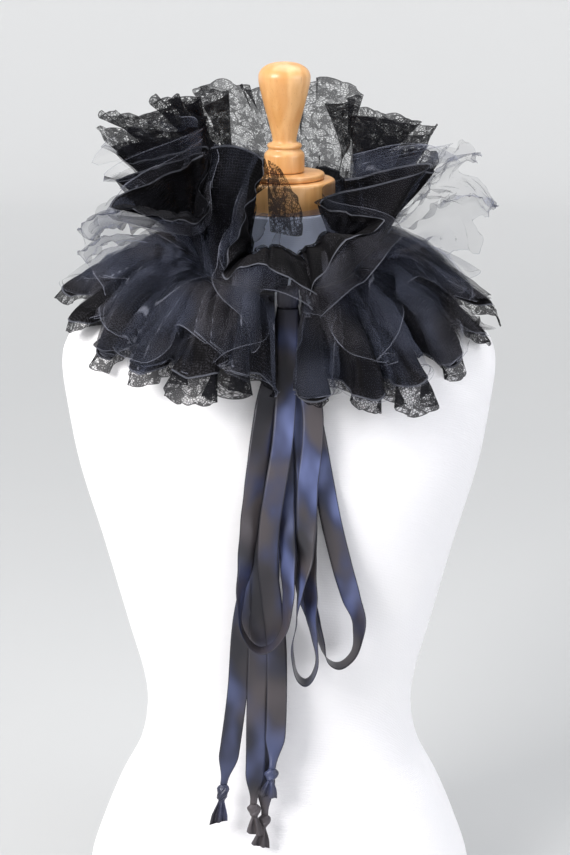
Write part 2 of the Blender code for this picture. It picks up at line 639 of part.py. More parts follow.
def ruffle(name, folds, side, layer, parts, finish):
    """One layer of a ruffle, as a wall of the cloth's thickness."""
    at = (np.arange(len(folds))[:, None] * 2 + np.array(HEM_STEPS)[None, :]).ravel()
    grid = ruffle_grid(folds, at, CLOTH_STEPS, side)
    outward = miter_normals(grid, side)
    grid = grid + outward * layer.step * LAYER_STEP
    if layer.past:
        extra = smooth_rows(column(folds, layer.past), at / at[-1] * (len(folds) - 1))
        extra = np.maximum(extra, LEAST_PAST)[:, None]
        past = past_hem(grid, layer.step * unit(outward[:, -1]), extra, layer.droop)
        grid = np.concatenate([grid, past[:, None]], axis=1)
    return cloth(name, grid, parts, finish)


def ruffles(parts):
    """The three layers of the upper and of the lower ruffle."""
    for layer in LAYERS:
        finish = material(layer.name, layer.colour, layer.roughness)
        ruffle(f"{layer.name}_upper", UPPER_FOLDS, 1, layer, parts, finish)
        ruffle(f"{layer.name}_lower", LOWER_FOLDS, -1, layer, parts, finish)


# ---------------------------------------------------------------- ribbons

def drape_line(height):
    """How far forward a ribbon hangs: over the chest, and straight down from its fullest."""
    levels = np.arange(NECK_TOP, 0.0, -0.002)
    fullest = np.maximum.accumulate(form_radius(levels, 0.0))
    return np.interp(height, levels[::-1], fullest[::-1])


def ribbon_sections(places):
    """Where a ribbon's sections are: at its rows and halfway, and wherever the chest bends."""
    last = len(places) - 1
    at = np.linspace(0, last, 2 * last + 1)
    fine = np.linspace(0, last, 60 * last + 1)
    height = smooth_rows(column(places, "z"), fine)
    for level in column(FORM, "height"):
        if level > CHEST_LOW:
            bends = fine[:-1][np.diff(np.sign(height - level)) != 0]
            at = np.concatenate([[place for place in at if not np.any(abs(bends - place) < CLOSEST)
                                  or place in (0, last)], bends])
    return np.sort(at)


def hang(points):
    """Points given by their depth in front of the drape line, moved to where they hang."""
    hung = np.array(points)
    hung[..., 1] -= drape_line(hung[..., 2])
    return hung


def ribbon(name, places, parts, finish):
    """A flat ribbon: a thin rectangle carried along its path, cut level at both ends."""
    at = ribbon_sections(places)
    x, depth, z, turn = (smooth_rows(column(places, field), at) for field in Place._fields)
    centre = np.stack([x, -depth, z], axis=1)
    along = unit(np.gradient(centre, axis=0))
    away = np.array([0.0, 1.0, 0.0])
    sideways = unit(np.cross(along, away))
    forward = -unit(away - along * (along @ away)[:, None])
    angle = np.radians(turn)[:, None]
    width = np.cos(angle) * sideways + np.sin(angle) * forward
    half = width * RIBBON_WIDTH / 2
    thick = np.cross(along, width) * RIBBON_WALL / 2
    rings = np.stack([centre - half - thick, centre + half - thick,
                      centre + half + thick, centre - half + thick], axis=1)
    rings[[0, -1], :, 2] = centre[[0, -1], None, 2]
    points, faces = loft(list(hang(rings)))
    return add_mesh(name, points, faces, finish, parts)


def end_knot(name, knot, parts, finish):
    """A tied knot below a tail's end, pinched under the knot and flared to a cut tip."""
    last = RIBBONS[knot.tail][-1]
    top = hang([last.x, -last.depth, last.z - TOUCH])
    fall = np.array([knot.tip_lean, 0.0, -knot.tip_fall])
    corners = np.radians(np.arange(8) * 45.0 + 22.5)
    rings = []
    for level in KNOT_LEVELS:
        middle = top + fall * level.along
        ring = [middle + np.array([level.half_width * math.cos(corner),
                                   level.half_depth * math.sin(corner), 0.0]) for corner in corners]
        rings.append(ring)
    points, faces = loft(rings)
    return add_mesh(name, points, faces, finish, parts)


def bow_knot(parts, finish):
    """The knot of the bow, a soft block in front of the band's two ends."""
    width, depth, height = BOW_KNOT
    highest = RIBBONS["ribbon_tail_a"][0].z + TOUCH + height
    band_front = band_reach(0.0) + BAND_THICK / 2 + TOUCH
    bpy.ops.mesh.primitive_cube_add(size=1.0)
    made = bpy.context.object
    made.name = "bow_knot"
    made.data.transform(Matrix.Diagonal((width, depth, height, 1.0)))
    made.location = (RIBBONS["ribbon_tail_a"][0].x, -(band_front + depth / 2), highest - height / 2)
    bevel = made.modifiers.new("soft edges", "BEVEL")
    bevel.width = BOW_KNOT_EDGE
    bevel.segments = 3
    made.data.materials.append(finish)
    for holder in list(made.users_collection):
        holder.objects.unlink(made)
    parts.objects.link(made)
    return made


def ties(parts):
    satin = material("satin", (0.020, 0.021, 0.028), 0.35)
    bow_knot(parts, satin)
    for name, places in RIBBONS.items():
        ribbon(name, places, parts, satin)
    for name, knot in END_KNOTS.items():
        end_knot(name, knot, parts, satin)


# ---------------------------------------------------------------- assembly

def build():
    clear_scene()
    parts = bpy.data.collections.new("ruff_collar_on_dress_form")
    bpy.context.scene.collection.children.link(parts)
    form_body(parts, material("form_cover", (0.86, 0.85, 0.87), 0.85))
    neck_wood(parts, material("maple", (0.62, 0.36, 0.16), 0.45))
    gather_band(parts, material("band", (0.015, 0.015, 0.018), 0.6))
    ruffles(parts)
    ties(parts)


build()
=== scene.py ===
"""Ruff collar on a dress form: the finished look.

A double ruffle of lace, mesh and tulle, gathered onto a band round the neck of a limbless dress
form and tied in front with satin ribbons. Each piece is a surface worked out on a grid, in the
place of the solid that it stands for. Metres, +Z up, the front at -Y. Azimuths are in degrees
round the neck: 0 in front, 90 at +X, 180 behind, 270 at -X.
"""
import math
from collections import namedtuple

import bmesh
import bpy
import numpy as np
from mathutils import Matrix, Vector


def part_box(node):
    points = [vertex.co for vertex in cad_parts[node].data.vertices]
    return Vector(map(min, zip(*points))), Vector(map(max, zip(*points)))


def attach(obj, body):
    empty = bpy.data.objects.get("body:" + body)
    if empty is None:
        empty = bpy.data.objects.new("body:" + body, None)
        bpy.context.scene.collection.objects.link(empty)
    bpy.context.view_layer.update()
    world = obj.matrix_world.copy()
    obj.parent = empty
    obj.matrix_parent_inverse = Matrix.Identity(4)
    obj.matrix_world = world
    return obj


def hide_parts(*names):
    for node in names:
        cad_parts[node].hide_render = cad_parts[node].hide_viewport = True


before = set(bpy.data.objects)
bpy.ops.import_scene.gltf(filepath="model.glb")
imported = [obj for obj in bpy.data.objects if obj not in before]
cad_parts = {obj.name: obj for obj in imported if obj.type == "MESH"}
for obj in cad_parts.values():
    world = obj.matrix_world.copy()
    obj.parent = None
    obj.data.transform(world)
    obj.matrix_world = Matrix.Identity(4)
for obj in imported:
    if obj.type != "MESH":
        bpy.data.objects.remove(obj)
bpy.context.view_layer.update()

# The dress form and its turned wood
NECK_TOP = 0.690            # height of the top of the cloth neck
WOOD_SHIFT = 0.005          # the turned wood stands this far to +X of the form's middle
TOUCH = 0.0003              # gap between touching pieces
BLOCK_RADIUS = 0.045
BLOCK_HEIGHT = 0.027
DISC_RADIUS = 0.0355
DISC_HEIGHT = 0.0055
FINIAL_HEIGHT = 0.096
CROWN_BASE = 0.083          # height on the finial where its domed crown starts
CROWN_RADIUS = 0.0229
FORM_SQUARE = 2.3           # the form's sections are superellipses of this power
TURNED_SIDES = 96           # sides of the turned wood, and of the studio's floor
FORM_SIDES = 144
FORM_LEVELS = 190
SEAM_REACH = 0.15           # the form's reach at its side seams, for their width
SEAM_WIDTH = 0.0022
SEAM_DEPTH = 0.0006

# The cloth
LAYER_STEP = 0.0013         # from the middle of one layer to the middle of the next
WALL = 0.001                # wall of each solid layer
BAND_THICK = 0.005
BAND_TALL = 0.009
BAND_FRONT_HEIGHT = 0.628   # height of the middle of the band in front
BAND_BACK_HEIGHT = 0.676
TIE_AZIMUTH = 7.0           # the band opens here
BAND_OPEN = 10.0            # half of the band's opening, in degrees
ROOT_RISE = 0.0027          # from the middle of the band to the mesh of either ruffle
FOLD_GROWTH = 1.4           # how the folds open from the band to the hem
LOOP_FULLNESS = 1.7         # how round a fold's end is blown
RUN_FULLNESS = 0.9          # and how straight the cloth runs from one fold to the next
LEAST_PAST = 0.002          # the least that lace or tulle reaches past the mesh's hem
LEAST_ROOT = 7.0            # the least that two rows of a ruffle are apart at the band, in degrees
HEM_FINE = 11               # steps of the hem for each of its curves
ACROSS = 34                 # steps from the band to the mesh's hem
PAST = 8                    # steps past it
CREASE_DEPTH = 0.15         # from the band to the mesh's hem, for placing creases
GATHER_DEPTH = 0.0008       # fine gathers at the band, and what the hem adds to them
GATHER_AT_HEM = 0.0010
SWELL_DEPTH = 0.0028        # broad swells at the hem
UNEVEN_LIFT = 0.0008        # how unevenly lace and tulle stand off the mesh
CRUMPLE_DEPTH = 0.0025      # how far their free edges wander from a plain curve
DROOP = {"lace": 0.3, "tulle": 1.0}     # how limply each droops past the mesh's hem
EASED_AWAY = 160            # averagings that leave hardly any of a ruffle's folds
DRAPE_ROWS = 121            # points along and across a loose sheet before it is pleated
DRAPE_COLUMNS = 61
DRAPE_ENDS = 0.012          # a loose sheet's edge has no pleats this near to its ends
OVERLAY_FINE = 281          # rows of a sheet over a ruffle once it is pleated
LEAST_STEEP = 90.0          # keeps a pleat's distance from its fold edge finite on its flat
OVERLAY_ROWS = 181
OVERLAY_REACH = 1.15        # a sheet over a ruffle may pass its hem by this share of the way out
RIBBON_WIDTH = 0.018
RIBBON_WALL = 0.0005
RIBBON_FINE = 14            # steps of a ribbon for each row of its table
RIBBON_ACROSS = 8
RIBBON_CUP = 0.0003         # a ribbon's middle stands this far from its edges
RIBBON_GATHERED = 0.0022    # and this much more where it is drawn together
RIBBON_SWAY = 0.0007
TAIL_DRAWN = 0.66           # how much of a tail's width is drawn in at its end knot
KNOT_SHADE_REACH = 0.034        # the ribbons take painted shade, and are rougher, this near to the bow's knot
KNOT_SIDES = 60
BOW_SIDES = 64
BOW_POWER = 3.2             # the bow knot's section is a superellipse of this power
MM = 1000.0                 # the tables hold their lengths in mm

# The finishes' patterns
NET_CELL = 0.0021           # lace: its net, its flowers' spacing, its pinholes and its scallops
FLOWER_CELL = 0.016
PETALS = 5.0
PINHOLE_CELL = 0.0016
SCALLOP = 0.013
RIB_OUT = 0.0025            # mesh: the pitch of its ribs one way and the other
RIB_ALONG = 0.0026
SATIN_THREAD = 0.0007
KNIT_COURSE = 0.0016
BAND_RIBS = 260.0           # ribs of the band's tape, all the way round the neck

# The studio
FLOOR_FLAT = 4.0            # radius where the floor starts to curve up
FLOOR_BEND = 0.9            # radius of that curve
FLOOR_WALL = 2.0            # height of the top of its low wall
CAMERA_AIM = (0.0055, 0.488)    # x and height that the camera looks at, over the form's middle
CAMERA_AWAY = 1.85
CAMERA_TILT = math.radians(16.0)

UP = np.array([0.0, 0.0, 1.0])


def table(kind, as_written, rows):
    """Rows of numbers as tuples of this kind: each is divided by MM to be in metres, but for the
    fields that stay as written, such as angles and shares."""
    scales = [1 if field in as_written else MM for field in kind._fields]
    return [kind(*(value / scale for value, scale in zip(row, scales))) for row in rows]


# Each level of the form: half width, depth in front of and behind the middle
Section = namedtuple("Section", "height half_width front back")
FORM = table(Section, [], [
    (0, 182, 106, 124), (10, 186, 109, 127), (54, 183, 107, 130),
    (92, 171, 102, 128), (134, 154, 95, 120), (176, 133, 88, 104),
    (218, 125, 85, 92), (254, 128, 87, 90), (304, 141, 93, 94),
    (389, 163, 103, 104), (457, 182, 108, 110), (514, 192, 104, 110),
    (550, 196, 96, 104), (574, 191, 88, 96), (592, 172, 79, 88),
    (606, 140, 70, 81), (620, 104, 62, 74), (634, 74, 56, 66),
    (650, 59, 51, 58), (670, 51, 48, 51), (690, 47.5, 46.5, 47.5),
])

# Each fold of a ruffle's hem, in order round the neck: where the mesh's hem stands, half the
# width of the fold's round end, how far the cloth bows up and sideways on its way there, and how
# far the lace and the tulle reach past it. Some lie a little off the solids' folds, and their
# lace and tulle reach further, as on the worn cloth
Fold = namedtuple("Fold", "azimuth reach height round arch lean lace tulle")
UPPER_FOLDS = table(Fold, ["azimuth"], [
    (11, 143, 643, 2, 34, 0, 4, 20), (24, 137, 687, 8, 26, 0, 6, 26), (38, 138, 699, 7, 12, 0, 6, 14),
    (35, 70, 708, 6, 0, 0, 4, 4), (59, 140, 737, 9, -14, 0, 4, 26), (59, 74, 727, 6, -4, 0, 4, 20),
    (81, 140, 744, 10, -10, 0, 6, 24), (85, 78, 740, 6, 4, 0, 10, 20), (103, 132, 740, 10, -6, 0, 18, 16),
    (109, 84, 740, 7, 0, 0, 30, 6), (120, 120, 741, 10, 0, 0, 28, 4), (133, 86, 741, 7, 0, 0, 36, 4),
    (144, 114, 743, 9, 0, 0, 42, 4), (156, 121, 747, 11, 0, 0, 52, 4), (168, 114, 746, 9, 0, 0, 52, 4),
    (180, 86, 746, 7, 0, 0, 46, 4), (191, 106, 752, 8, 0, 0, 42, 4), (202, 112, 757, 10, 0, 0, 44, 8),
    (213, 106, 754, 8, 0, 0, 40, 24), (223, 80, 752, 6, 0, 0, 36, 22), (231, 112, 756, 9, 2, 0, 34, 20),
    (241, 75, 752, 6, 2, 0, 32, 6), (259, 126, 750, 14, 4, 0, 34, 8), (261, 68, 756, 6, 4, 0, 8, 18),
    (273, 134, 740, 13, 4, 0, 30, 20), (279, 68, 744, 6, 4, 0, 4, 22), (286, 142, 722, 7, 6, 0, 4, 16),
    (294, 72, 742, 6, 8, 0, 4, 12), (297, 156, 708, 7, 16, 4, 6, 8), (323, 120, 697, 8, 16, -2, 4, 6),
    (320, 90, 752, 7, 0, -4, 4, 4), (341, 74, 746, 9, 0, 0, 10, 6), (346, 112, 705, 8, 16, 6, 8, 8),
    (340, 130, 660, 8, 18, 8, 4, 14), (347, 138, 664, 6, 20, 2, 4, 52), (356, 141, 665, 6, 30, 0, 4, 12),
    (372, 144.5, 643, 2, 34, 0, 4, 10),
])
LOWER_FOLDS = table(Fold, ["azimuth"], [
    (7, 130, 556, 2, 12, 0, 4, 0), (13, 146, 553, 9, 14, 0, 4, 2), (21, 126, 562, 7, 10, 0, 6, 4),
    (30, 158, 555, 13, 14, 0, 10, 6), (37, 132, 564, 6, 10, 0, 12, 4), (46, 162, 562, 15, 16, 0, 26, 4),
    (56, 142, 576, 6, 12, 0, 16, 4), (63, 172, 574, 11, 18, 0, 14, 8), (70, 150, 603, 6, 14, 0, 3, 6),
    (77, 180, 588, 10, 18, 0, 10, 10), (83, 152, 611, 5, 14, 0, 3, 4), (89, 186, 604, 10, 18, 0, 18, 2),
    (98, 150, 618, 7, 14, 0, 4, 4), (109, 182, 608, 15, 18, 0, 16, 6), (122, 148, 614, 7, 14, 0, 14, 4),
    (134, 172, 603, 14, 18, 0, 18, 8), (147, 146, 610, 8, 14, 0, 14, 4), (160, 170, 597, 16, 18, 0, 20, 4),
    (174, 142, 606, 8, 14, 0, 16, 4), (186, 166, 595, 14, 18, 0, 16, 8), (199, 144, 606, 8, 14, 0, 14, 4),
    (213, 170, 598, 16, 18, 0, 18, 4), (227, 146, 610, 7, 14, 0, 14, 4), (240, 175, 608, 14, 18, 0, 14, 6),
    (254, 152, 621, 6, 14, 0, 4, 4), (266, 189, 614, 12, 18, 0, 10, 4), (275, 156, 612, 6, 14, 0, 3, 4),
    (282, 180, 596, 10, 18, 0, 10, 8), (289, 152, 601, 6, 14, 0, 3, 4), (297, 173, 581, 11, 18, 0, 12, 4),
    (305, 146, 583, 6, 14, 0, 12, 4), (312, 160, 570, 10, 16, 0, 12, 6), (321, 134, 577, 6, 12, 0, 16, 4),
    (332, 152, 573, 16, 14, 0, 26, 4), (341, 124, 577, 7, 10, 0, 28, 4), (347, 150, 577, 9, 14, 0, 10, 8),
    (353, 130, 570, 6, 10, 0, 6, 4), (359, 132, 558, 2, 12, 0, 4, 2),
])

# The main creases: a soft ridge, or a trough where its depth is below nought, from one place to
# another, each given by the fold's number and the share of the way from the band to the hem
Crease = namedtuple("Crease", "row share end_row end_share depth width")
PLACES = ["row", "share", "end_row", "end_share"]
UPPER_CREASES = table(Crease, PLACES, [
    (1, 0.2, 1.8, 0.95, 5, 8), (2.2, 0.15, 2.6, 0.8, -4, 7), (4, 0.3, 4.6, 0.9, 3.5, 6),
    (7.2, 0.2, 7.8, 0.7, -4, 8), (10.4, 0.25, 9.8, 0.85, 4.5, 8), (13, 0.15, 13.6, 0.75, -4, 7),
    (16.2, 0.3, 15.5, 0.9, 4.5, 9), (19.4, 0.2, 20.1, 0.8, -4.5, 8), (23.1, 0.25, 22.6, 0.9, 4, 7),
    (28.4, 0.25, 27.8, 0.95, 5, 8), (29.2, 0.3, 29.6, 0.85, -4.5, 7), (32.6, 0.2, 32.9, 0.8, 4, 6),
    (33.4, 0.15, 33.1, 0.9, -3, 6), (34.5, 0.25, 34.9, 0.95, 4, 7),
])
LOWER_CREASES = table(Crease, PLACES, [
    (2, 0.15, 3.2, 0.85, 4.5, 8), (4.5, 0.2, 5.3, 0.95, -5, 9), (6.2, 0.3, 7.6, 0.75, 4.5, 8),
    (9.1, 0.2, 8.2, 0.85, -4, 8), (11.6, 0.2, 12.7, 0.9, 5, 9), (14.9, 0.3, 14.1, 0.8, -4.5, 8),
    (17.2, 0.2, 18.3, 0.95, 5, 8), (20.6, 0.25, 19.7, 0.75, -4, 9), (22.4, 0.2, 23.4, 0.9, 4.5, 8),
    (25.7, 0.3, 25, 0.95, -4.5, 8), (27.5, 0.2, 28.6, 0.9, 5, 8), (29, 0.35, 30.2, 0.95, -4.5, 8),
    (31.1, 0.2, 31.6, 0.7, 4, 7), (33, 0.3, 33.6, 0.95, 5, 10),
])

# How a soft sheet is pleated: a pleat's length on the hem, how much it slants, how far it doubles
# back, how high its plies lie, and how unevenly it is placed
Pleats = namedtuple("Pleats", "pitch slant fullness height wander")

# The two ruffles. side is 1 for the one that stands up and -1 for the one that hangs. gap is the
# opening at its root in degrees, and ends is how much of the hem has no pleats at each end. bridge
# is how far the tulle bridges the mesh's folds at some rows, and ragged how much its hem wanders.
# bare lists rows where the tulle lies elsewhere, with half their width. short lists, for each
# layer, rows where it stops short, half their width and the share of its depth that it keeps
Ruffle = namedtuple("Ruffle", "side folds creases seed gap ends pleats bridge ragged bare short")
RUFFLES = {
    "upper": Ruffle(
        1, UPPER_FOLDS, UPPER_CREASES, 100, 1.0, 0.22, Pleats(0.074, 0.45, 1.9, 0.0060, 0.60),
        bridge=([0, 5, 8, 22, 28, 31, 36], [0.0, 0.05, 0.30, 0.30, 0.20, 0.05, 0.0]),
        ragged=0.0, bare=[(30.4, 0.55), (3.4, 0.75)],
        short={
            "lace": [(0.4, 2.3, 0.50), (33.6, 2.6, 0.50), (30.4, 0.5, 0.70), (26.5, 1.9, 0.72),
                     (5.0, 1.9, 0.74)],
            "mesh": [(12.8, 6.4, 0.56), (21.8, 1.1, 0.80)],
            "tulle": [(12.8, 6.4, 0.52), (21.8, 1.1, 0.76)],
        }),
    "lower": Ruffle(
        -1, LOWER_FOLDS, LOWER_CREASES, 200, BAND_OPEN, 0.03, Pleats(0.092, -0.60, 2.1, 0.0085, 0.80),
        bridge=([0, 3, 12, 24, 33, 37], [0.25, 0.35, 0.40, 0.40, 0.35, 0.25]),
        ragged=0.20, bare=[(34.6, 0.5)],
        short={"lace": [(0.0, 1.0, 0.8)], "mesh": [], "tulle": []}),
}

# Each loose drape: rows of places in mm, from the edge that is held to the free one, how it is
# pleated, its finish, how much it is rucked, and how thick the veil is
Drape = namedtuple("Drape", "places pleats seed finish rucked thick")
DRAPES = {
    "tulle_veil_left": Drape([
            [(-70, 4, 668), (-68, -30, 652), (-56, -52, 640)],
            [(-100, 2, 688), (-98, -40, 668), (-86, -76, 646)],
            [(-128, 0, 697), (-128, -44, 677), (-114, -88, 645)],
            [(-150, -4, 694), (-152, -46, 669), (-138, -90, 633)],
            [(-160, -6, 679), (-166, -50, 650), (-156, -94, 615)],
    ], Pleats(0.034, 1.6, 2.2, 0.012, 0.35), 310, "tulle", 1.0, 0.20),
    "tulle_veil_right": Drape([
            [(58, -50, 646), (70, -20, 658), (70, 10, 668)],
            [(94, -74, 660), (110, -34, 680), (110, 10, 702)],
            [(122, -90, 660), (142, -40, 698), (140, 8, 732)],
            [(147, -98, 646), (166, -44, 702), (160, 4, 748)],
            [(168, -100, 624), (181, -48, 686), (172, 0, 745)],
    ], Pleats(0.040, -1.6, 2.2, 0.012, 0.35), 320, "tulle", 1.0, 0.20),
    "tulle_veil_neck": Drape([
            [(-34, -58, 700), (0, -60, 696), (40, -52, 700)],
            [(-32, -74, 686), (2, -74, 682), (46, -68, 690)],
            [(-30, -90, 668), (6, -88, 664), (54, -84, 678)],
            [(-30, -104, 654), (10, -98, 648), (58, -100, 668)],
    ], Pleats(0.030, 1.2, 2.0, 0.006, 0.3), 330, "tulle", 0.4, 0.03),
    "lace_swag": Drape([
            [(-9, -75, 745), (-9, -88, 717), (-7, -100, 688)],
            [(-4, -70, 741), (0, -80, 712), (5, -92, 684)],
            [(2, -64, 735), (10, -72, 711), (17, -84, 681)],
            [(8, -62, 727), (19, -68, 706), (27, -78, 685)],
    ], Pleats(0.022, 0.6, 1.0, 0.002, 0.3), 340, "lace", 0.3, 0.0),
}

# Loose tulle that lies over a ruffle: its hem's share of the way out at some rows, how far it
# stands off, and how it is pleated
Overlay = namedtuple("Overlay", "ruffle hem lift pleats seed")
OVERLAYS = {
    "tulle_over_right": Overlay("lower", [
        (0.7, 0.45), (2.0, 0.50), (3.0, 0.80), (4.4, 0.92), (5.4, 0.66), (7.0, 0.50), (9.0, 0.82),
        (11.5, 0.90),
    ], 0.013, Pleats(0.050, 0.60, 2.4, 0.007, 0.45), 410),
    "tulle_over_left": Overlay("lower", [
        (25.5, 0.95), (27.5, 0.70), (29.0, 0.92), (31.0, 1.00), (32.4, 0.74), (33.8, 1.04), (35.2, 0.80),
        (36.3, 0.50),
    ], 0.013, Pleats(0.052, -0.60, 2.4, 0.007, 0.45), 420),
    "tulle_over_shoulder": Overlay("upper", [
        (4.2, 0.80), (5.0, 0.90), (6.4, 1.06), (8.0, 0.90), (9.5, 0.70),
    ], 0.008, Pleats(0.052, 0.50, 2.1, 0.006, 0.40), 430),
    "tulle_over_lapel": Overlay("upper", [
        (31.6, 0.85), (32.4, 0.98), (33.4, 0.90), (35.0, 0.60),
    ], 0.008, Pleats(0.050, -0.40, 2.0, 0.005, 0.35), 440),
}

# Ribbons: the places along each centre line. The depth is how far it hangs in front of the
# chest's drape line, and the turn is 0 where it lies flat and 90 where it is edge on
Place = namedtuple("Place", "x depth z turn")
RIBBONS = {name: table(Place, ["turn"], rows) for name, rows in {
    "ribbon_loop_left": [
        (8, 10, 616.5, 0), (3, 10, 585, 0), (-9, 10, 547, 0), (-14, 10.5, 520, 0),
        (-19, 11.5, 484, -10), (-24.5, 13, 440, -25), (-29, 15, 400, -40), (-34, 16.5, 368, -70),
        (-33, 17.5, 343, -85), (-26, 17.5, 327, -88), (-14, 17.5, 321, -90), (0, 17.5, 330, -85),
        (8, 17, 355, -65), (8.5, 16, 385, -50), (6.5, 14, 420, -35), (5, 11.5, 455, -15),
        (5, 9.5, 495, 0), (6, 8.5, 545, 0), (7, 8.5, 585, 0), (8, 8.5, 616.5, 0),
    ],
    "ribbon_loop_middle": [
        (8, 13, 616.5, 0), (14, 13, 590, 0), (24, 13.5, 560, 0), (29, 15, 537, 0),
        (29, 17.5, 509, 0), (25, 18.5, 472, 0), (24, 19, 435, 15), (22, 19.5, 400, 50),
        (18.5, 19.5, 370, 80), (14, 19.5, 342, 95), (12.5, 19.5, 314, 95), (16, 19.5, 296, 92),
        (23.5, 19.5, 289, 90), (30.5, 19.5, 296, 92), (32.5, 19, 318, 100), (29, 18.5, 350, 120),
        (26, 17, 385, 140), (24.5, 15, 430, 165), (24, 13, 480, 180), (18, 11.5, 550, 180),
        (8, 11.5, 616.5, 180),
    ],
    "ribbon_loop_right": [
        (8, 7.1, 616.5, 0), (12, 7.1, 585, 0), (22, 7, 550, 0), (30, 7, 520, 0),
        (39, 5.8, 471, 0), (46, 5, 434, 0), (55, 4, 396, 0), (64, 3.5, 364, 20),
        (71, 3, 335, 55), (66.5, 2.5, 311, 80), (54, 2.5, 300, 90), (41, 2.5, 309, 100),
        (33, 2.5, 334, 125), (27, 3, 357, 145), (22, 3, 380, 165), (20, 3, 410, 180),
        (20, 3.2, 450, 180), (19, 4.2, 500, 180), (17, 5.4, 530, 180), (12, 5.6, 560, 180),
        (8, 5.6, 616.5, 180),
    ],
    "ribbon_tail_a": [
        (8, 2.7, 616.5, 0), (-2, 2.7, 560, 0), (-12, 2.7, 480, 0), (-21, 2.7, 399, 0),
        (-32, 2.7, 340, 0), (-37, 2.7, 275, 0), (-44, 2.7, 220, 0), (-50, 2.7, 184, 0),
    ],
    "ribbon_tail_b": [
        (8, 4.2, 616.5, 0), (1, 4.2, 560, 0), (-7, 4.2, 480, 0), (-15, 4.2, 399, 0),
        (-18, 4.2, 315, 0), (-20, 4.2, 257, 0), (-21, 4.2, 202, 0), (-23, 5.5, 166, 0),
    ],
    "ribbon_tail_c": [
        (8, 14.5, 616.5, 0), (8, 14.8, 600, 0), (7, 16, 570, 0), (6, 18, 544, 0),
        (3, 20, 507, 0), (-3, 20.5, 470, 0), (-8, 18, 433, 0), (-9.5, 11, 395, 0),
        (-6, 7, 360, 0), (-2, 5.6, 316, 0), (-2, 5.6, 258, 0), (-4, 6.6, 221, 0),
        (-6, 10, 203, 0),
    ],
    "ribbon_tail_d": [
        (8, 1.2, 616.5, 0), (3, 1.4, 560, 0), (-3, 1.2, 480, 0), (-8, 1, 400, 0),
        (-9, 1, 320, 0), (-10, 0.8, 265, 0), (-12, -0.6, 207, 0), (-13, -0.6, 152, 0),
    ],
}.items()}

EndKnot = namedtuple("EndKnot", "tail tip_lean tip_fall")
END_KNOTS = {
    "end_knot_a": EndKnot("ribbon_tail_a", -0.005, 0.037),
    "end_knot_b": EndKnot("ribbon_tail_b", 0.002, 0.030),
    "end_knot_c": EndKnot("ribbon_tail_c", -0.004, 0.027),
    "end_knot_d": EndKnot("ribbon_tail_d", -0.004, 0.031),
}
KnotLevel = namedtuple("KnotLevel", "along half_width half_depth")
KNOT_LEVELS = table(KnotLevel, ["along"], [
    (0, 3, 1.4), (0.05, 4.4, 3), (0.13, 6, 4.4), (0.24, 6.2, 4.6),
    (0.34, 5.2, 4), (0.42, 3, 2), (0.5, 3.6, 1.2), (0.65, 5.6, 0.9),
    (0.82, 7.4, 0.8), (1, 8.4, 0.7),
])


# -------------------- curves and fields

def column(rows, field):
    """One field of all the rows, as an array."""
    return np.array([getattr(row, field) for row in rows], dtype=float)


def hermite(start, end, leave, arrive, part):
    """The cubic curve from start to end that leaves and arrives at these slopes."""
    return ((2 * part**3 - 3 * part**2 + 1) * start + (part**3 - 2 * part**2 + part) * leave
            + (3 * part**2 - 2 * part**3) * end + (part**3 - part**2) * arrive)


def smooth_rows(values, at):
    """Catmull-Rom curve through the rows of values, read at fractional row numbers: a cubic
    between neighbours, whose slope at each is half the step from the row before to the one after."""
    values = np.asarray(values, dtype=float)
    last = len(values) - 1
    at = np.clip(at, 0.0, last)
    low = np.minimum(at.astype(int), last - 1)
    part = (at - low).reshape((-1,) + (1,) * (values.ndim - 1))
    before, start = values[np.maximum(low - 1, 0)], values[low]
    end, after = values[low + 1], values[np.minimum(low + 2, last)]
    return hermite(start, end, (end - before) / 2, (after - start) / 2, part)


def read_rows(rows, field, at):
    """One field of all the rows, read at fractional row numbers."""
    return smooth_rows(column(rows, field), at)


def evenly(rows, count):
    """This many fractional row numbers, spread evenly over all the rows."""
    return np.linspace(0, len(rows) - 1, count)


def neighbours(rows):
    """For each row the one before it and the one after it, which at the ends are the row itself."""
    return np.concatenate([rows[:1], rows[:-1]]), np.concatenate([rows[1:], rows[-1:]])


def unit(vectors):
    """Each vector divided by its length."""
    length = np.linalg.norm(vectors, axis=-1, keepdims=True)
    return vectors / np.maximum(length, 1e-9)


def points(*parts):
    """A grid of points, or of places on the flat cloth, from an array for each coordinate."""
    return np.stack(np.broadcast_arrays(*parts), axis=-1)


def around(sides):
    """The azimuths of a ring's points, in degrees."""
    return np.arange(sides) * 360.0 / sides


def round_neck(azimuth, reach, height):
    """Points at an azimuth in degrees, a distance from the neck's middle and a height."""
    turn = np.radians(azimuth)
    return points(reach * np.sin(turn), -reach * np.cos(turn), height)


def ease(low, high, values):
    """0 at low and 1 at high, with the cubic 3t^2 - 2t^3 between them."""
    part = np.clip((values - low) / (high - low), 0.0, 1.0)
    return part * part * (3 - 2 * part)


def waves(seed, count, shortest, longest, across, along):
    """A smooth uneven field of spread 1: a sum of sines whose lengths and directions are seeded."""
    rng = np.random.default_rng(seed)
    total = 0.0
    for _ in range(count):
        length = math.exp(rng.uniform(math.log(shortest), math.log(longest)))
        turn = rng.uniform(0, 2 * math.pi)
        phase = (across * math.cos(turn) + along * math.sin(turn)) * 2 * math.pi / length
        total = total + np.sin(phase + rng.uniform(0, 2 * math.pi))
    return total / math.sqrt(count / 2)


def run_length(grid, axis):
    """Distance along a grid of points in one direction, from its first row."""
    step = np.linalg.norm(np.diff(grid, axis=axis), axis=-1)
    start = np.zeros_like(np.take(step, [0], axis=axis))
    return np.concatenate([start, np.cumsum(step, axis=axis)], axis=axis)


def facing(grid):
    """Unit direction square to a grid: the cross product of its two central differences."""
    return unit(np.cross(np.gradient(grid, axis=0), np.gradient(grid, axis=1)))


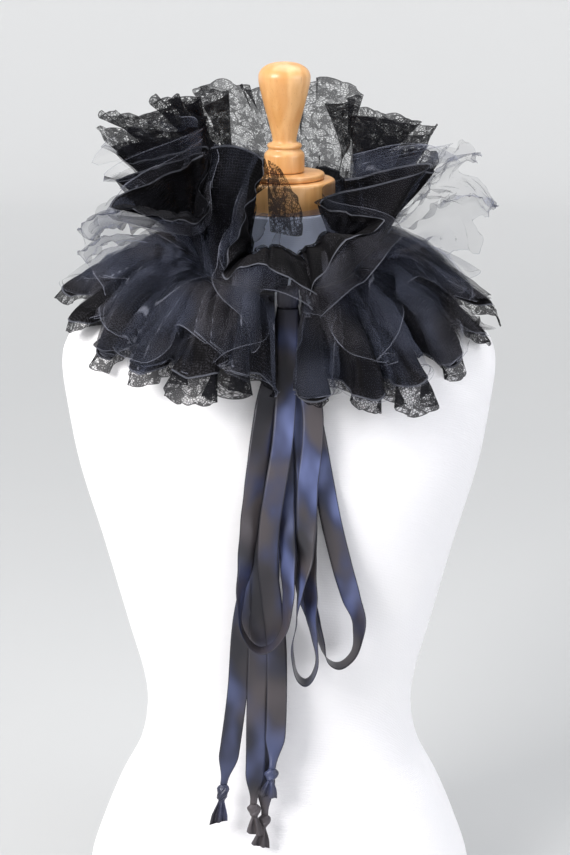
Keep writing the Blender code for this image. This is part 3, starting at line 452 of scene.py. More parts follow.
def read_grid(grid, rows, columns):
    """The grid's values at fractional rows and columns, mixed from the four points round each."""
    rows, columns = np.broadcast_arrays(np.clip(rows, 0, len(grid) - 1.001),
                                        np.clip(columns, 0, grid.shape[1] - 1.001))
    top, left = rows.astype(int), columns.astype(int)
    down, over = (rows - top)[..., None], (columns - left)[..., None]
    upper = grid[top, left] * (1 - over) + grid[top, left + 1] * over
    lower = grid[top + 1, left] * (1 - over) + grid[top + 1, left + 1] * over
    return upper * (1 - down) + lower * down


# -------------------- pieces

def add_surface(name, grid, finish, pattern, fields=None, closed=False, flip=False):
    """One named piece through a grid of points, rows by columns.

    pattern is each point's place on the flat cloth in metres, kept as the UV map, and fields
    are kept as attributes. closed joins the last column to the first, where pattern has one
    column more than the grid. Points that lie on one another, as at a pole, become one.
    """
    rows, columns = grid.shape[:2]
    number = np.arange(rows * columns).reshape(rows, columns)
    if closed:
        number = np.concatenate([number, number[:, :1]], axis=1)
    corners = [(slice(None, -1), slice(None, -1)), (slice(1, None), slice(None, -1)),
               (slice(1, None), slice(1, None)), (slice(None, -1), slice(1, None))]
    if flip:
        corners = corners[::-1]
    faces = np.stack([number[corner] for corner in corners], axis=-1).reshape(-1, 4)
    place = np.stack([pattern[corner] for corner in corners], axis=2).reshape(-1)
    mesh = bpy.data.meshes.new(name)
    mesh.from_pydata(grid.reshape(-1, 3).tolist(), [], faces.tolist())
    mesh.uv_layers.new(name="UVMap").data.foreach_set("uv", place.astype(np.float32))
    for field, values in (fields or {}).items():
        held = mesh.attributes.new(field, "FLOAT", "POINT")
        held.data.foreach_set("value", np.broadcast_to(values, (rows, columns)).astype(np.float32).ravel())
    mesh.materials.append(finish)
    if closed:
        work = bmesh.new()
        work.from_mesh(mesh)
        bmesh.ops.remove_doubles(work, verts=work.verts, dist=1e-7)
        work.to_mesh(mesh)
        work.free()
    mesh.shade_smooth()
    piece = bpy.data.objects.new(name, mesh)
    bpy.context.scene.collection.objects.link(piece)
    return piece


def dress(piece, slot, *nodes):
    """The piece rides on the part, and stands for these solids where there are any."""
    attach(piece, "root")
    if nodes:
        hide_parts(*nodes)
    return piece


def at_hem(lengths):
    """Of the sheet's length at each of its columns, the one at its free edge."""
    return lengths[-1]


def lay_sheet(name, made, slot, finishes, pattern, fields, flip, nodes=(),
              width=np.mean, length=np.mean):
    """One gathered sheet as a piece. Its flat size is this measure of the depth at its rows, and
    of the length at its columns. Its field rim is the distance to the free edge."""
    depth = run_length(made, 1)
    fields = {**fields, "rim": depth[:, -1:] - depth}
    piece = dress(add_surface(name, made, finishes[slot], pattern, fields, flip=flip), slot, *nodes)
    cut = (float(width(depth[:, -1])), float(length(run_length(made, 0)[-1])))


# -------------------- finishes

def operator(operation, swapped=False):
    """A method that adds one Math node for a number and another value, swapped for the form that
    has the number on the right."""
    def method(self, *others):
        """This operation on the values in their order."""
        values = (self, *others)
        return self.maths(operation, *(values[::-1] if swapped else values))
    return method


class Number:
    """A number that varies over a surface: an expression on it adds its Math nodes. over and under
    are the larger and the smaller of two."""

    def __init__(self, finish, socket):
        """A number is one output socket of one finish's nodes."""
        self.finish = finish
        self.socket = socket

    def maths(self, operation, *values):
        """The result of one Math node."""
        node = self.finish.add("ShaderNodeMath", {"operation": operation}, dict(enumerate(values)))
        return Number(self.finish, node.outputs[0])

    __add__, __radd__ = operator("ADD"), operator("ADD", True)
    __sub__, __rsub__ = operator("SUBTRACT"), operator("SUBTRACT", True)
    __mul__, __rmul__ = operator("MULTIPLY"), operator("MULTIPLY", True)
    __truediv__, __rtruediv__ = operator("DIVIDE"), operator("DIVIDE", True)
    __pow__, __abs__ = operator("POWER"), operator("ABSOLUTE")
    sine, cosine, arctan2 = operator("SINE"), operator("COSINE"), operator("ARCTAN2")
    over, under = operator("MAXIMUM"), operator("MINIMUM")

    def ribs(self, pitch):
        """Waves from 0 to 1, one for each pitch: (1 + sin(2 pi n / pitch)) / 2."""
        return (self * (2 * math.pi / pitch)).sine() * 0.5 + 0.5

    def ease(self, low, high):
        """0 at low and 1 at high, smoothly; low may be the larger."""
        node = self.finish.add("ShaderNodeMapRange", {"interpolation_type": "SMOOTHSTEP"},
                               {"Value": self, "From Min": min(low, high), "From Max": max(low, high)})
        eased = Number(self.finish, node.outputs["Result"])
        return 1 - eased if low > high else eased


class Finish:
    """A material of nodes that ends in one Principled shader with these constants."""

    def __init__(self, name, **constants):
        """The shader's constants are named as its sockets are, with _ for a space."""
        self.material = bpy.data.materials.new(name)
        self.material.use_nodes = True
        self.tree = self.material.node_tree
        self.shader = self.tree.nodes["Principled BSDF"]
        self.set(**constants)

    def set(self, **sockets):
        """Give the shader's sockets their values or links."""
        for name, value in sockets.items():
            self.put(self.shader, name.replace("_", " "), value)

    def put(self, node, key, value):
        """Give a node's socket a value, or link a number or another socket to it."""
        socket = node.inputs[key]
        if isinstance(value, Number):
            self.tree.links.new(value.socket, socket)
        elif isinstance(value, bpy.types.NodeSocket):
            self.tree.links.new(value, socket)
        elif isinstance(value, tuple) and socket.type == "RGBA":
            socket.default_value = (*value, 1.0)
        else:
            socket.default_value = value

    def add(self, kind, settings=None, sockets=None):
        """A node of this kind, its settings first and then its sockets' values or links."""
        node = self.tree.nodes.new(kind)
        for name, value in (settings or {}).items():
            setattr(node, name, value)
        for key, value in (sockets or {}).items():
            self.put(node, key, value)
        return node

    def number(self, kind, output, settings=None, sockets=None):
        """One output of a new node, as a number."""
        return Number(self, self.add(kind, settings, sockets).outputs[output])

    def attribute(self, name):
        """One of the piece's own fields, which is 0 where it has none of that name."""
        return self.number("ShaderNodeAttribute", "Fac", {"attribute_name": name})

    def pattern(self):
        """The place on the flat cloth, in metres."""
        return self.add("ShaderNodeUVMap", {"uv_map": "UVMap"}).outputs["UV"]

    def place(self):
        """The place in space, in metres."""
        return self.add("ShaderNodeTexCoord").outputs["Object"]

    def split(self, vector):
        """A vector's three numbers."""
        node = self.add("ShaderNodeSeparateXYZ", None, {0: vector})
        return [Number(self, output) for output in node.outputs]

    def vector(self, operation, *values):
        """The result of one Vector Math node."""
        node = self.add("ShaderNodeVectorMath", {"operation": operation}, dict(enumerate(values)))
        return node.outputs[0]

    def noise(self, vector, scale, detail=2.0, flat="3D"):
        """Smooth noise from 0 to 1, with this many of its waves in a metre."""
        return self.number("ShaderNodeTexNoise", "Fac", {"noise_dimensions": flat},
                           {"Vector": vector, "Scale": scale, "Detail": detail})

    def cloud(self, scale, detail):
        """Flat noise over the cloth's own pattern."""
        return self.noise(self.pattern(), scale, detail, flat="2D")

    def shifted(self, vector, scale, reach):
        """The place moved unevenly by up to about this reach, so that a pattern isn't regular."""
        noise = self.add("ShaderNodeTexNoise", {"noise_dimensions": "2D"},
                         {"Vector": vector, "Scale": scale, "Detail": 1.0}).outputs["Color"]
        centred = self.vector("SUBTRACT", noise, (0.5, 0.5, 0.5))
        return self.vector("ADD", vector, self.vector("MULTIPLY", centred, (reach, reach, 0.0)))

    def cells(self, vector, size):
        """The distance to the edges of flat cells of about this size."""
        return self.number("ShaderNodeTexVoronoi", "Distance",
                           {"voronoi_dimensions": "2D", "feature": "DISTANCE_TO_EDGE"},
                           {"Vector": vector, "Scale": 1.0 / size})

    def blend(self, share, first, second):
        """A colour that goes from the first to the second as share goes from 0 to 1."""
        sockets = {0: share, 6: first, 7: second}
        return self.add("ShaderNodeMix", {"data_type": "RGBA"}, sockets).outputs[2]

    def relief(self, height, depth):
        """Raise or sink the surface by a height from 0 to 1 times this depth in metres."""
        bump = self.add("ShaderNodeBump", None, {"Height": height, "Distance": depth, "Strength": 1.0})
        self.set(Normal=bump.outputs["Normal"])


def lace_finish():
    """Black lace: a fine net with outlined flowers, leaves and stems, and a scalloped free edge.
    It is more open where it is sheer.

    A flower is a five-petalled outline, r = R (0.70 + 0.30 cos 5a), round the middle of each
    wide cell; stems follow the middle level of a slow noise; the net is the edges of fine cells.
    """
    lace = Finish("lace", Base_Color=(0.0055, 0.0055, 0.0075), Roughness=0.7, Specular_IOR_Level=0.08)
    flat = lace.shifted(lace.pattern(), 70.0, 0.005)
    net = lace.cells(flat, NET_CELL).ease(0.24, 0.12)
    spot = lace.add("ShaderNodeTexVoronoi", {"voronoi_dimensions": "2D", "feature": "F1"},
                    {"Vector": flat, "Scale": 1 / FLOWER_CELL, "Randomness": 0.85})
    east, north, _ = lace.split(lace.vector("SUBTRACT", flat, spot.outputs["Position"]))
    reach = (east * east + north * north) ** 0.5
    turn = north.arctan2(east)
    tilt, size, _ = lace.split(spot.outputs["Color"])
    petal = (0.0050 + 0.0034 * size) * (0.70 + 0.30 * (turn * PETALS + tilt * 6.28).cosine())
    edge = reach - petal
    flower = edge.ease(0.0005, -0.0003)
    outline = abs(edge).ease(0.0010, 0.0005)
    heart = abs(reach - 0.0019).ease(0.0009, 0.0004)
    pinholes = lace.cells(flat, PINHOLE_CELL).ease(0.34, 0.22)
    filled = flower * pinholes.over(0.50).over(heart)
    slow = lace.noise(flat, 74.0, 0.0, flat="2D")
    stem = abs(slow - 0.5).ease(0.034, 0.020)
    patch = lace.noise(flat, 150.0, 1.0, flat="2D").ease(0.52, 0.58)
    sheer = lace.attribute("sheer")
    leaf = patch * pinholes.over(0.32) * (1.0 - 0.6 * sheer)
    thread = (net * 0.80).over(outline).over(filled).over(stem).over(leaf)
    thread = thread * (0.76 - 0.10 * sheer) + (0.14 - 0.09 * sheer)
    along, _, _ = lace.split(lace.pattern())
    scallop = abs((along * (math.pi / SCALLOP)).sine())
    rim = lace.attribute("rim") - 0.0016 * (1 - scallop)
    cord = rim.ease(0.0014, 0.0008)
    kept = rim.ease(0.0, 0.0003)
    lace.set(Alpha=thread.over(cord * 0.9) * kept)
    lace.relief(thread, 0.0003)
    return lace.material


def mesh_finish():
    """Stiff dark mesh: fine uneven ribs both ways, a fleck, a paler turned hem, and painted shade
    between its folds.
    """
    mesh = Finish("mesh", Base_Color=(0.010, 0.009, 0.010), Roughness=0.65, Specular_IOR_Level=0.05)
    flat = mesh.shifted(mesh.pattern(), 40.0, 0.0016)
    along, out, _ = mesh.split(flat)
    rib = out.ribs(RIB_OUT)
    cord = along.ribs(RIB_ALONG)
    fleck = mesh.cloud(560.0, 2.0).ease(0.50, 0.64)
    strength = mesh.cloud(26.0, 2.0).ease(0.40, 0.62)
    weave = (rib * 0.65 + cord * 0.35) * (0.30 + 0.70 * strength)
    hem = mesh.attribute("rim").ease(0.0022, 0.0012)
    ground = mesh.blend(weave, (0.0010, 0.0009, 0.0013), (0.0125, 0.0116, 0.0132))
    flecked = mesh.blend(fleck * (0.10 + 0.50 * strength), ground, (0.036, 0.035, 0.041))
    # painted shade: darker between the folds, and on the lower ruffle below the tie
    shaded = mesh.blend(mesh.attribute("painted_shade") * 0.85, flecked, (0.0010, 0.0010, 0.0013))
    mesh.set(Base_Color=mesh.blend(hem * 0.75, shaded, (0.105, 0.109, 0.130)))
    mesh.relief(weave + hem * 0.8, 0.0006)
    return mesh.material


def tulle_finish():
    """Slate tulle: a see-through veil, denser where it is gathered. Along its fold edges and hem it is
    denser and paler with a painted highlight, and between its folds it is denser and darker with painted
    shade.
    """
    tulle = Finish("tulle", Base_Color=(0.10, 0.11, 0.14), Roughness=0.8, Specular_IOR_Level=0.15)
    fold = abs(tulle.attribute("edge"))
    line = fold.ease(0.0011, 0.0003).over(tulle.attribute("rim").ease(0.0012, 0.0004))
    soft = fold.ease(0.0070, 0.0)
    long = tulle.vector("MULTIPLY", tulle.pattern(), (1.0, 0.26, 1.0))
    streak = tulle.noise(long, 30.0, 2.0, flat="2D").ease(0.36, 0.66)
    warm = tulle.noise(tulle.place(), 11.0, 1.0).ease(0.50, 0.60)
    calm = tulle.noise(tulle.place(), 17.0, 1.0).ease(0.40, 0.60)
    veil = (0.06 + 0.19 * streak) * (0.35 + 0.75 * calm) + 0.10 * soft + 0.34 * line
    veil = veil + 0.40 * tulle.attribute("dense")
    # painted shade: denser and darker between the folds, and on the lower ruffle below the tie
    deep = tulle.attribute("painted_shade")
    veil = veil * (1.0 - 0.85 * tulle.attribute("bare")) + 0.35 * deep
    tulle.set(Alpha=veil.under(0.85))
    slate = tulle.blend(streak, (0.033, 0.038, 0.057), (0.072, 0.080, 0.116))
    dusty = tulle.blend(warm * 0.55, slate, (0.078, 0.069, 0.068))
    # painted highlight: paler along the fold edges and the hem
    drawn = tulle.blend(line * 0.8, dusty, (0.25, 0.26, 0.32))
    tulle.set(Base_Color=tulle.blend(deep * 0.85, drawn, (0.004, 0.004, 0.006)))
    return tulle.material


def satin_finish():
    """Satin ribbon: fine threads across its width and corded edges, and painted light in its colour: a
    cloudy blue painted reflection that comes and goes along it, stronger higher up, over a ground of
    painted sheen and shade."""
    satin = Finish("satin", Base_Color=(0.016, 0.017, 0.026), Roughness=0.36, Specular_IOR_Level=0.6,
                   Specular_Tint=(0.88, 0.89, 1.0))
    across, along, _ = satin.split(satin.pattern())
    place = satin.place()
    thread = along.ribs(SATIN_THREAD)
    # painted reflection: navy and pale blue clouds along the ribbon, stronger higher up
    gleam_cloud = satin.noise(satin.vector("MULTIPLY", place, (1.0, 0.6, 0.55)), 34.0, 1.5)
    _, _, high = satin.split(place)
    level = 0.35 + 0.65 * high.ease(0.26, 0.44)
    painted_navy = gleam_cloud.ease(0.40, 0.58) * level
    painted_gleam = gleam_cloud.ease(0.50, 0.74) * level
    # painted sheen and shade: the ground goes from dark to warm at random
    sheen_and_shade = satin.noise(place, 13.0, 1.0).ease(0.41, 0.60)
    edge = abs(across).ease(RIBBON_WIDTH / 2 - 0.0011, RIBBON_WIDTH / 2 - 0.0004)
    ground = satin.blend(sheen_and_shade, (0.013, 0.012, 0.014), (0.062, 0.052, 0.054))
    deep = satin.blend(painted_navy * 0.85, ground, (0.022, 0.031, 0.085))
    body = satin.blend(painted_gleam, deep, (0.125, 0.155, 0.330))
    edged = satin.blend(edge * 0.8, body, (0.014, 0.014, 0.020))
    # painted shade near the bow's knot, where it is also rougher
    satin.set(Base_Color=satin.blend(satin.attribute("knot_shade") * 0.85, edged, (0.007, 0.007, 0.012)))
    satin.set(Roughness=0.30 + 0.16 * sheen_and_shade + 0.2 * edge + 0.3 * satin.attribute("knot_shade"))
    satin.relief(thread * 0.3 + edge, 0.00015)
    return satin.material


def jersey_finish():
    """White cotton jersey: a fine knit with a faint unevenness, and painted lavender shade on the neck."""
    jersey = Finish("form_cover", Base_Color=(0.86, 0.85, 0.87), Roughness=0.85, Sheen_Weight=0.2)
    place = jersey.place()
    _, _, high = jersey.split(place)
    cloud = jersey.noise(place, 9.0, 3.0)
    cover = jersey.blend(cloud, (0.82, 0.81, 0.85), (0.90, 0.885, 0.885))
    # painted shade: lavender on the neck above the shoulders
    jersey.set(Base_Color=jersey.blend(high.ease(0.600, 0.660), cover, (0.70, 0.77, 0.98)))
    fuzz = jersey.noise(place, 900.0, 2.0)
    jersey.relief(high.ribs(KNIT_COURSE) * 0.4 + fuzz * 0.6, 0.00025)
    return jersey.material


def maple_finish():
    """Honey maple, turned and varnished: long grain up the axis, fine pores and a soft gloss."""
    maple = Finish("maple", Base_Color=(0.62, 0.36, 0.16), Roughness=0.4, Coat_Roughness=0.2,
                   Coat_Weight=0.35)
    place = maple.place()
    long = maple.vector("MULTIPLY", place, (1.0, 1.0, 0.10))
    bend = maple.noise(long, 34.0, 3.0)
    rings = maple.noise(long, 120.0, 2.0)
    band = (bend * 26.0 + rings * 2.0).sine() * 0.5 + 0.5
    pores = maple.noise(maple.vector("MULTIPLY", place, (1.0, 1.0, 0.05)), 1500.0, 2.0)
    pale = maple.blend(band, (0.65, 0.335, 0.115), (0.76, 0.435, 0.185))
    warm = maple.blend(rings.ease(0.35, 0.7) * 0.55, pale, (0.58, 0.255, 0.075))
    maple.set(Base_Color=maple.blend(pores.ease(0.55, 0.8) * 0.4, warm, (0.34, 0.14, 0.045)))
    maple.relief(pores * 0.6 + rings * 0.4, 0.00012)
    return maple.material


def band_finish():
    """Black tape with ribs round the neck's middle, by the angle of each place."""
    tape = Finish("band", Base_Color=(0.012, 0.012, 0.015), Roughness=0.6)
    place = tape.place()
    wide, deep, _ = tape.split(place)
    rib = (wide.arctan2(deep) * BAND_RIBS).sine() * 0.5 + 0.5
    fuzz = tape.noise(place, 500.0, 2.0)
    tape.set(Base_Color=tape.blend(rib * 0.6 + fuzz * 0.4, (0.008, 0.008, 0.010), (0.026, 0.026, 0.032)))
    tape.relief(rib, 0.0004)
    return tape.material


# -------------------- dress form and wood

def form_levels(count):
    """Height, half width, front and back of the form at evenly spread fractional rows."""
    at = evenly(FORM, count)
    return [read_rows(FORM, name, at) for name in Section._fields]


LEVELS = form_levels(600)


def form_radius(height, azimuth):
    """Distance from the form's middle line to its surface, a superellipse at each height."""
    wide, front, back = (np.interp(height, LEVELS[0], level) for level in LEVELS[1:])
    turn = np.radians(azimuth)
    deep = np.where(np.cos(turn) > 0, front, back)
    across = np.abs(np.sin(turn) / wide) ** FORM_SQUARE
    along = np.abs(np.cos(turn) / deep) ** FORM_SQUARE
    return (across + along) ** (-1 / FORM_SQUARE)


def form_body(finish):
    """The torso and neck: one ring for each level, with its top and bottom closed. A side seam is
    a groove shaped like a bell at each side."""
    height = form_levels(FORM_LEVELS)[0][:, None]
    azimuth = around(FORM_SIDES)
    reach = form_radius(height, azimuth)
    seam = np.radians(abs(azimuth % 180.0 - 90.0)) * SEAM_REACH
    reach = reach - SEAM_DEPTH * np.exp(-(seam / SEAM_WIDTH) ** 2) * ease(0.02, 0.05, height)
    grid = round_neck(azimuth, reach, height)
    grid = np.concatenate([grid[:1] * UP, grid[:1] * (0.98, 0.98, 1.0), grid,
                           grid[-1:] * (0.975, 0.975, 1.0), grid[-1:] * UP])
    pattern = points(np.linspace(0, 1.2, FORM_SIDES + 1), np.linspace(0, 1, len(grid))[:, None])
    dress(add_surface("form_cover", grid, finish, pattern, closed=True, flip=True), "form_cover", "form_body")


def rounded(profile, size, steps=4):
    """A half outline with its corners rounded off: each corner is cut back by size and replaced
    by the points of a quadratic curve."""
    profile = [np.array(point) for point in profile]
    made = [profile[0]]
    for before, corner, after in zip(profile[:-2], profile[1:-1], profile[2:]):
        back, ahead = before - corner, after - corner
        cut = min(size, np.linalg.norm(back) * 0.45, np.linalg.norm(ahead) * 0.45)
        start, end = corner + unit(back) * cut, corner + unit(ahead) * cut
        for part in np.linspace(0, 1, steps + 1):
            made.append((1 - part) ** 2 * start + 2 * part * (1 - part) * corner + part**2 * end)
    return np.array(made + [profile[-1]])


def turned(name, profile, base, node, finish):
    """A turned piece: its half outline of (radius, height), bottom to top, carried round."""
    radius, height = np.split(np.asarray(profile), 2, axis=1)
    grid = round_neck(around(TURNED_SIDES), radius, base + height) + (WOOD_SHIFT, 0.0, 0.0)
    pattern = points(np.linspace(0, 0.2, TURNED_SIDES + 1), height)
    dress(add_surface(name, grid, finish, pattern, closed=True, flip=True), "maple", node)


def neck_wood(finish):
    """The neck block, the disc on it and the finial, each standing on the last. The finial is a
    rounded foot, a bead, a smooth taper and a crown that is a flattened quarter of an ellipse."""
    block_base = NECK_TOP + TOUCH
    disc_base = block_base + BLOCK_HEIGHT + TOUCH
    finial_base = disc_base + DISC_HEIGHT + TOUCH
    block = rounded([(0, 0), (BLOCK_RADIUS, 0), (BLOCK_RADIUS, BLOCK_HEIGHT), (0, BLOCK_HEIGHT)], 0.0030)
    disc = rounded([(0, 0), (DISC_RADIUS, 0), (DISC_RADIUS, DISC_HEIGHT), (0, DISC_HEIGHT)], 0.0020)
    angle = np.radians(np.linspace(0, 90, 17))
    dome = FINIAL_HEIGHT - CROWN_BASE
    crown = points(CROWN_RADIUS * np.cos(angle) ** 0.8, CROWN_BASE + dome * np.sin(angle))
    rows = np.array([(0.0108, 0.0265), (0.0108, 0.0300), (0.0135, 0.0420), (0.0178, 0.0580),
                     (0.0222, 0.0760), (CROWN_RADIUS, CROWN_BASE)])
    taper = smooth_rows(rows, evenly(rows, 41))
    foot = rounded([(0, 0), (0.0178, 0), (0.0178, 0.0163), (0.0142, 0.0198), (0.0142, 0.0206)], 0.0018)
    half = np.radians(np.linspace(-75, 75, 9))
    bead = points(0.0128 + 0.0025 * np.cos(half), 0.0231 + 0.0024 * np.sin(half))
    outline = np.concatenate([foot, bead, taper, crown[1:]])
    turned("neck_block_wood", block, block_base, "neck_block", finish)
    turned("neck_disc_wood", disc, disc_base, "neck_disc", finish)
    turned("finial_wood", outline, finial_base, "finial", finish)


# -------------------- ruffles

def band_height(azimuth):
    """The band's middle, low in front and high behind."""
    middle = (BAND_FRONT_HEIGHT + BAND_BACK_HEIGHT) / 2
    swing = (BAND_BACK_HEIGHT - BAND_FRONT_HEIGHT) / 2
    return middle - swing * np.cos(np.radians(azimuth))


def root_reach(azimuth, side):
    """Where the mesh leaves the band's outer face. The band is just clear of the neck at its lower
    edge, and the upper ruffle's lace lies between its mesh and the band."""
    low = band_height(azimuth) - BAND_TALL / 2
    band = form_radius(low, azimuth) + TOUCH + BAND_THICK / 2
    between = LAYER_STEP + WALL / 2 + TOUCH if side > 0 else WALL / 2
    return band + BAND_THICK / 2 + TOUCH + between


def hem_controls(folds):
    """The folds' places, and two points for each, its rounding apart, along the hem's run."""
    places = round_neck(column(folds, "azimuth"), column(folds, "reach"), column(folds, "height"))
    before, after = neighbours(places)
    half = unit(after - before) * column(folds, "round")[:, None]
    return np.stack([places - half, places + half], axis=1).reshape(-1, 3), places


def hem_curve(controls, at):
    """A hem through its controls: round loops at the folds and easy runs between them. Each is a
    cubic whose slopes are the heading at its ends times its chord and a fullness."""
    last = len(controls) - 1
    low = np.minimum(at.astype(int), last - 1)
    before, after = neighbours(controls)
    heading = unit(after - before)
    start, end = controls[low], controls[low + 1]
    slope = np.linalg.norm(end - start, axis=1, keepdims=True)
    slope = slope * np.where(low % 2 == 0, LOOP_FULLNESS, RUN_FULLNESS)[:, None]
    return hermite(start, end, heading[low] * slope, heading[low + 1] * slope, (at - low)[:, None])


def calmed(values, times):
    """The rows with their waves eased away by averaging each with its neighbours."""
    for _ in range(times):
        before, after = neighbours(values)
        values = (before + 2 * values + after) / 4
    return values


def under_tie(row, share, last):
    """Painted shade: 1 on the lower ruffle close to the band and below the tie, where the upper one hangs
    over.
    """
    front = ease(4.0, 0.5, row) + ease(last - 3.5, last - 0.5, row)
    return ease(0.62, 0.10, share) * (0.35 + 0.55 * front)


def root_azimuth(folds, row, gap):
    """Where the cloth of each row is sewn to the band: below its folds, and evenly spread."""
    first = TIE_AZIMUTH + gap
    last = TIE_AZIMUTH + 360.0 - gap
    even = np.linspace(first, last, len(folds))
    below = calmed(column(folds, "azimuth"), 3)
    least = np.arange(len(folds)) * LEAST_ROOT
    mixed = (even + np.clip(below, first, last)) / 2 - least
    mixed = np.maximum.accumulate(mixed) + least
    fitted = first + (mixed - mixed[0]) * (last - first) / (mixed[-1] - mixed[0])
    return np.interp(row, np.arange(len(folds)), fitted)


def hem_rows(folds):
    """Fine places along a hem, counted in its controls, and the fractional fold number of each."""
    steps = len(folds) * 2 - 1
    at = np.linspace(0, steps, steps * HEM_FINE + 1)
    return at, at / at[-1] * (len(folds) - 1)


def ruffle_grid(cut, share):
    """Middle surface of a ruffle's mesh, hem samples by steps from the band to the hem.

    A point is the band's edge, plus its share of the way to the mean hem, plus the hem's wave
    grown by a power of that share, plus the cloth's bow, which is nought at both ends.
    """
    at, row = hem_rows(cut.folds)
    controls, places = hem_controls(cut.folds)
    hem = hem_curve(controls, at)
    mean = smooth_rows(calmed(places, 1), row)
    azimuth = root_azimuth(cut.folds, row, cut.gap)
    root = round_neck(azimuth, root_reach(azimuth, cut.side), band_height(azimuth) + cut.side * ROOT_RISE)
    arch = read_rows(cut.folds, "arch", row)[:, None] * UP
    lean = read_rows(cut.folds, "lean", row)[:, None] * round_neck(azimuth + 90, 1, 0)
    share = share[None, :, None]
    return (root[:, None] + share * (mean - root)[:, None]
            + share**FOLD_GROWTH * (hem - mean)[:, None]
            + 4 * share * (1 - share) * (arch + lean)[:, None])


def creased(creases, row, share, pitch):
    """Sum of soft ridges: each is its depth times a bell of the distance to its line."""
    total = 0.0
    for crease in creases:
        start = np.array([crease.row * pitch, crease.share * CREASE_DEPTH])
        end = np.array([crease.end_row * pitch, crease.end_share * CREASE_DEPTH])
        line = end - start
        length = np.hypot(*line)
        across, along = row * pitch - start[0], share * CREASE_DEPTH - start[1]
        part = (across * line[0] + along * line[1]) / length**2
        off = (across * line[1] - along * line[0]) / length
        inside = ease(-0.15, 0.2, part) * ease(1.25, 0.8, part)
        total = total + crease.depth * np.exp(-(off / crease.width) ** 2) * inside
    return total


def creased_middle(cut, row, share, grid, across, along):
    """The mesh's middle surface, moved square to itself by fine gathers, by broad swells that grow
    towards the hem with powers of the way out, and by the main creases."""
    gathers = waves(cut.seed, 9, 0.020, 0.046, across, along * 0.4)
    swells = waves(cut.seed + 2, 6, 0.06, 0.14, across, along)
    main = creased(cut.creases, row[:, None], share, across[-1, 0] / (len(cut.folds) - 1))
    shape = gathers * (GATHER_DEPTH * ease(0, 0.15, share) + GATHER_AT_HEM * share**1.3)
    shape = shape + SWELL_DEPTH * swells * share**1.5 + main * ease(0, 0.2, share)
    return grid + facing(grid) * cut.side * shape[..., None]


def layer_beside(cut, layer, step, row, share, grid, across, along):
    """A layer one step inside or outside the mesh, lifted unevenly by the square of a slow wave.
    It is carried straight on past the hem, and droops by the square of the way out."""
    out = facing(grid) * cut.side
    lift = UNEVEN_LIFT * waves(cut.seed + 9, 6, 0.03, 0.08, across, along) ** 2 * ease(0, 0.4, share)
    made = grid + out * (step * (LAYER_STEP + lift))[..., None]
    extra = np.maximum(read_rows(cut.folds, layer, row), LEAST_PAST)[:, None]
    crumple = CRUMPLE_DEPTH * waves(cut.seed + 13, 7, 0.02, 0.06, across[:, 0], 0 * row)[:, None]
    part = (np.arange(PAST) + 1.0)[None, :, None] / PAST
    heading = unit(made[:, -1] - made[:, -3])[:, None]
    away = (step * out[:, -1])[:, None]
    low = np.maximum(-away[..., 2:], 0.0)
    past = (made[:, -1:] + extra[:, None] * (part * heading + DROOP[layer] * part**2 * low * away)
            + abs(crumple)[:, None] * part * away)
    return np.concatenate([made, past], axis=1)


def pleated(base, out, hem, pleats, seed, count, ends):
    """A soft sheet laid over a base in pleats that pass over themselves.

    The cloth's place along the hem goes to place + m pitch / 2 pi sin a, where a is 2 pi times
    the pleats' phase there. Where the fullness m is over 1 the cloth doubles back, so three
    plies lie on one another between two fold edges. Each ply is lifted by height (1 - cos(a -
    1.05)) / 2. The second result holds, in metres, how far each point is from a fold edge, and
    more where the cloth doesn't double back.
    """
    rows = evenly(base, count)
    columns = np.arange(base.shape[1])
    place = np.interp(rows, np.arange(len(base)), hem)[:, None]
    share = columns[None, :] / columns[-1]
    reach = share * 0.015
    phase = place / pleats.pitch + pleats.slant * (share - 0.5)
    phase = phase + pleats.wander * waves(seed, 5, 0.10, 0.34, place, reach)
    fullness = np.clip(pleats.fullness * (0.62 + 0.62 * waves(seed + 1, 7, 0.06, 0.16, place, reach)), 0, 3.0)
    fullness = fullness * ease(0.0, ends, place) * ease(hem[-1], hem[-1] - ends, place)
    angle = 2 * math.pi * phase
    moved = np.clip(place + fullness * pleats.pitch / (2 * math.pi) * np.sin(angle), 0, hem[-1])
    rows = np.interp(moved.ravel(), hem, np.arange(len(base))).reshape(moved.shape)
    lift = pleats.height * (0.5 - 0.5 * np.cos(angle - 1.05)) * np.clip(fullness / 1.4, 0.15, 1.2)
    lift = lift * ease(0.0, 0.35, share)
    away = unit(read_grid(out, rows, columns[None, :]))
    made = read_grid(base, rows, columns[None, :]) + away * lift[..., None]
    steep = 2 * math.pi * fullness / pleats.pitch * np.sin(angle)
    edge = (1 + fullness * np.cos(angle)) / np.hypot(steep, LEAST_STEEP)
    edge = abs(edge) + 0.004 * ease(1.32, 1.06, fullness)
    return made, edge, points(place, run_length(made, 1))


def pleated_tulle(cut, made, hem, row, share):
    """A ruffle's tulle: calmed, drawn part of the way straight across the mesh's folds, and pleated."""
    bridged = np.interp(row, *cut.bridge) * (1 + 0.5 * waves(cut.seed + 21, 5, 0.12, 0.40, hem, 0))
    bridged = np.clip(bridged, 0, 0.85)[:, None] * ease(0.05, 0.5, share)
    made = calmed(made, 12)
    made = made + bridged[..., None] * (calmed(made, 110) - made)
    outer = facing(calmed(made, 12)) * cut.side
    return pleated(made, outer, hem, cut.pleats, cut.seed, len(made) * 5 // 4, cut.ends)


def kept_share(shorts, row):
    """The share of its depth that a layer keeps at each row: 1 less a flat-topped dip for each."""
    kept = np.ones(np.shape(row))
    for place, half, end in shorts:
        kept = np.minimum(kept, 1 - (1 - end) * np.exp(-((row - place) / half) ** 6))
    return kept


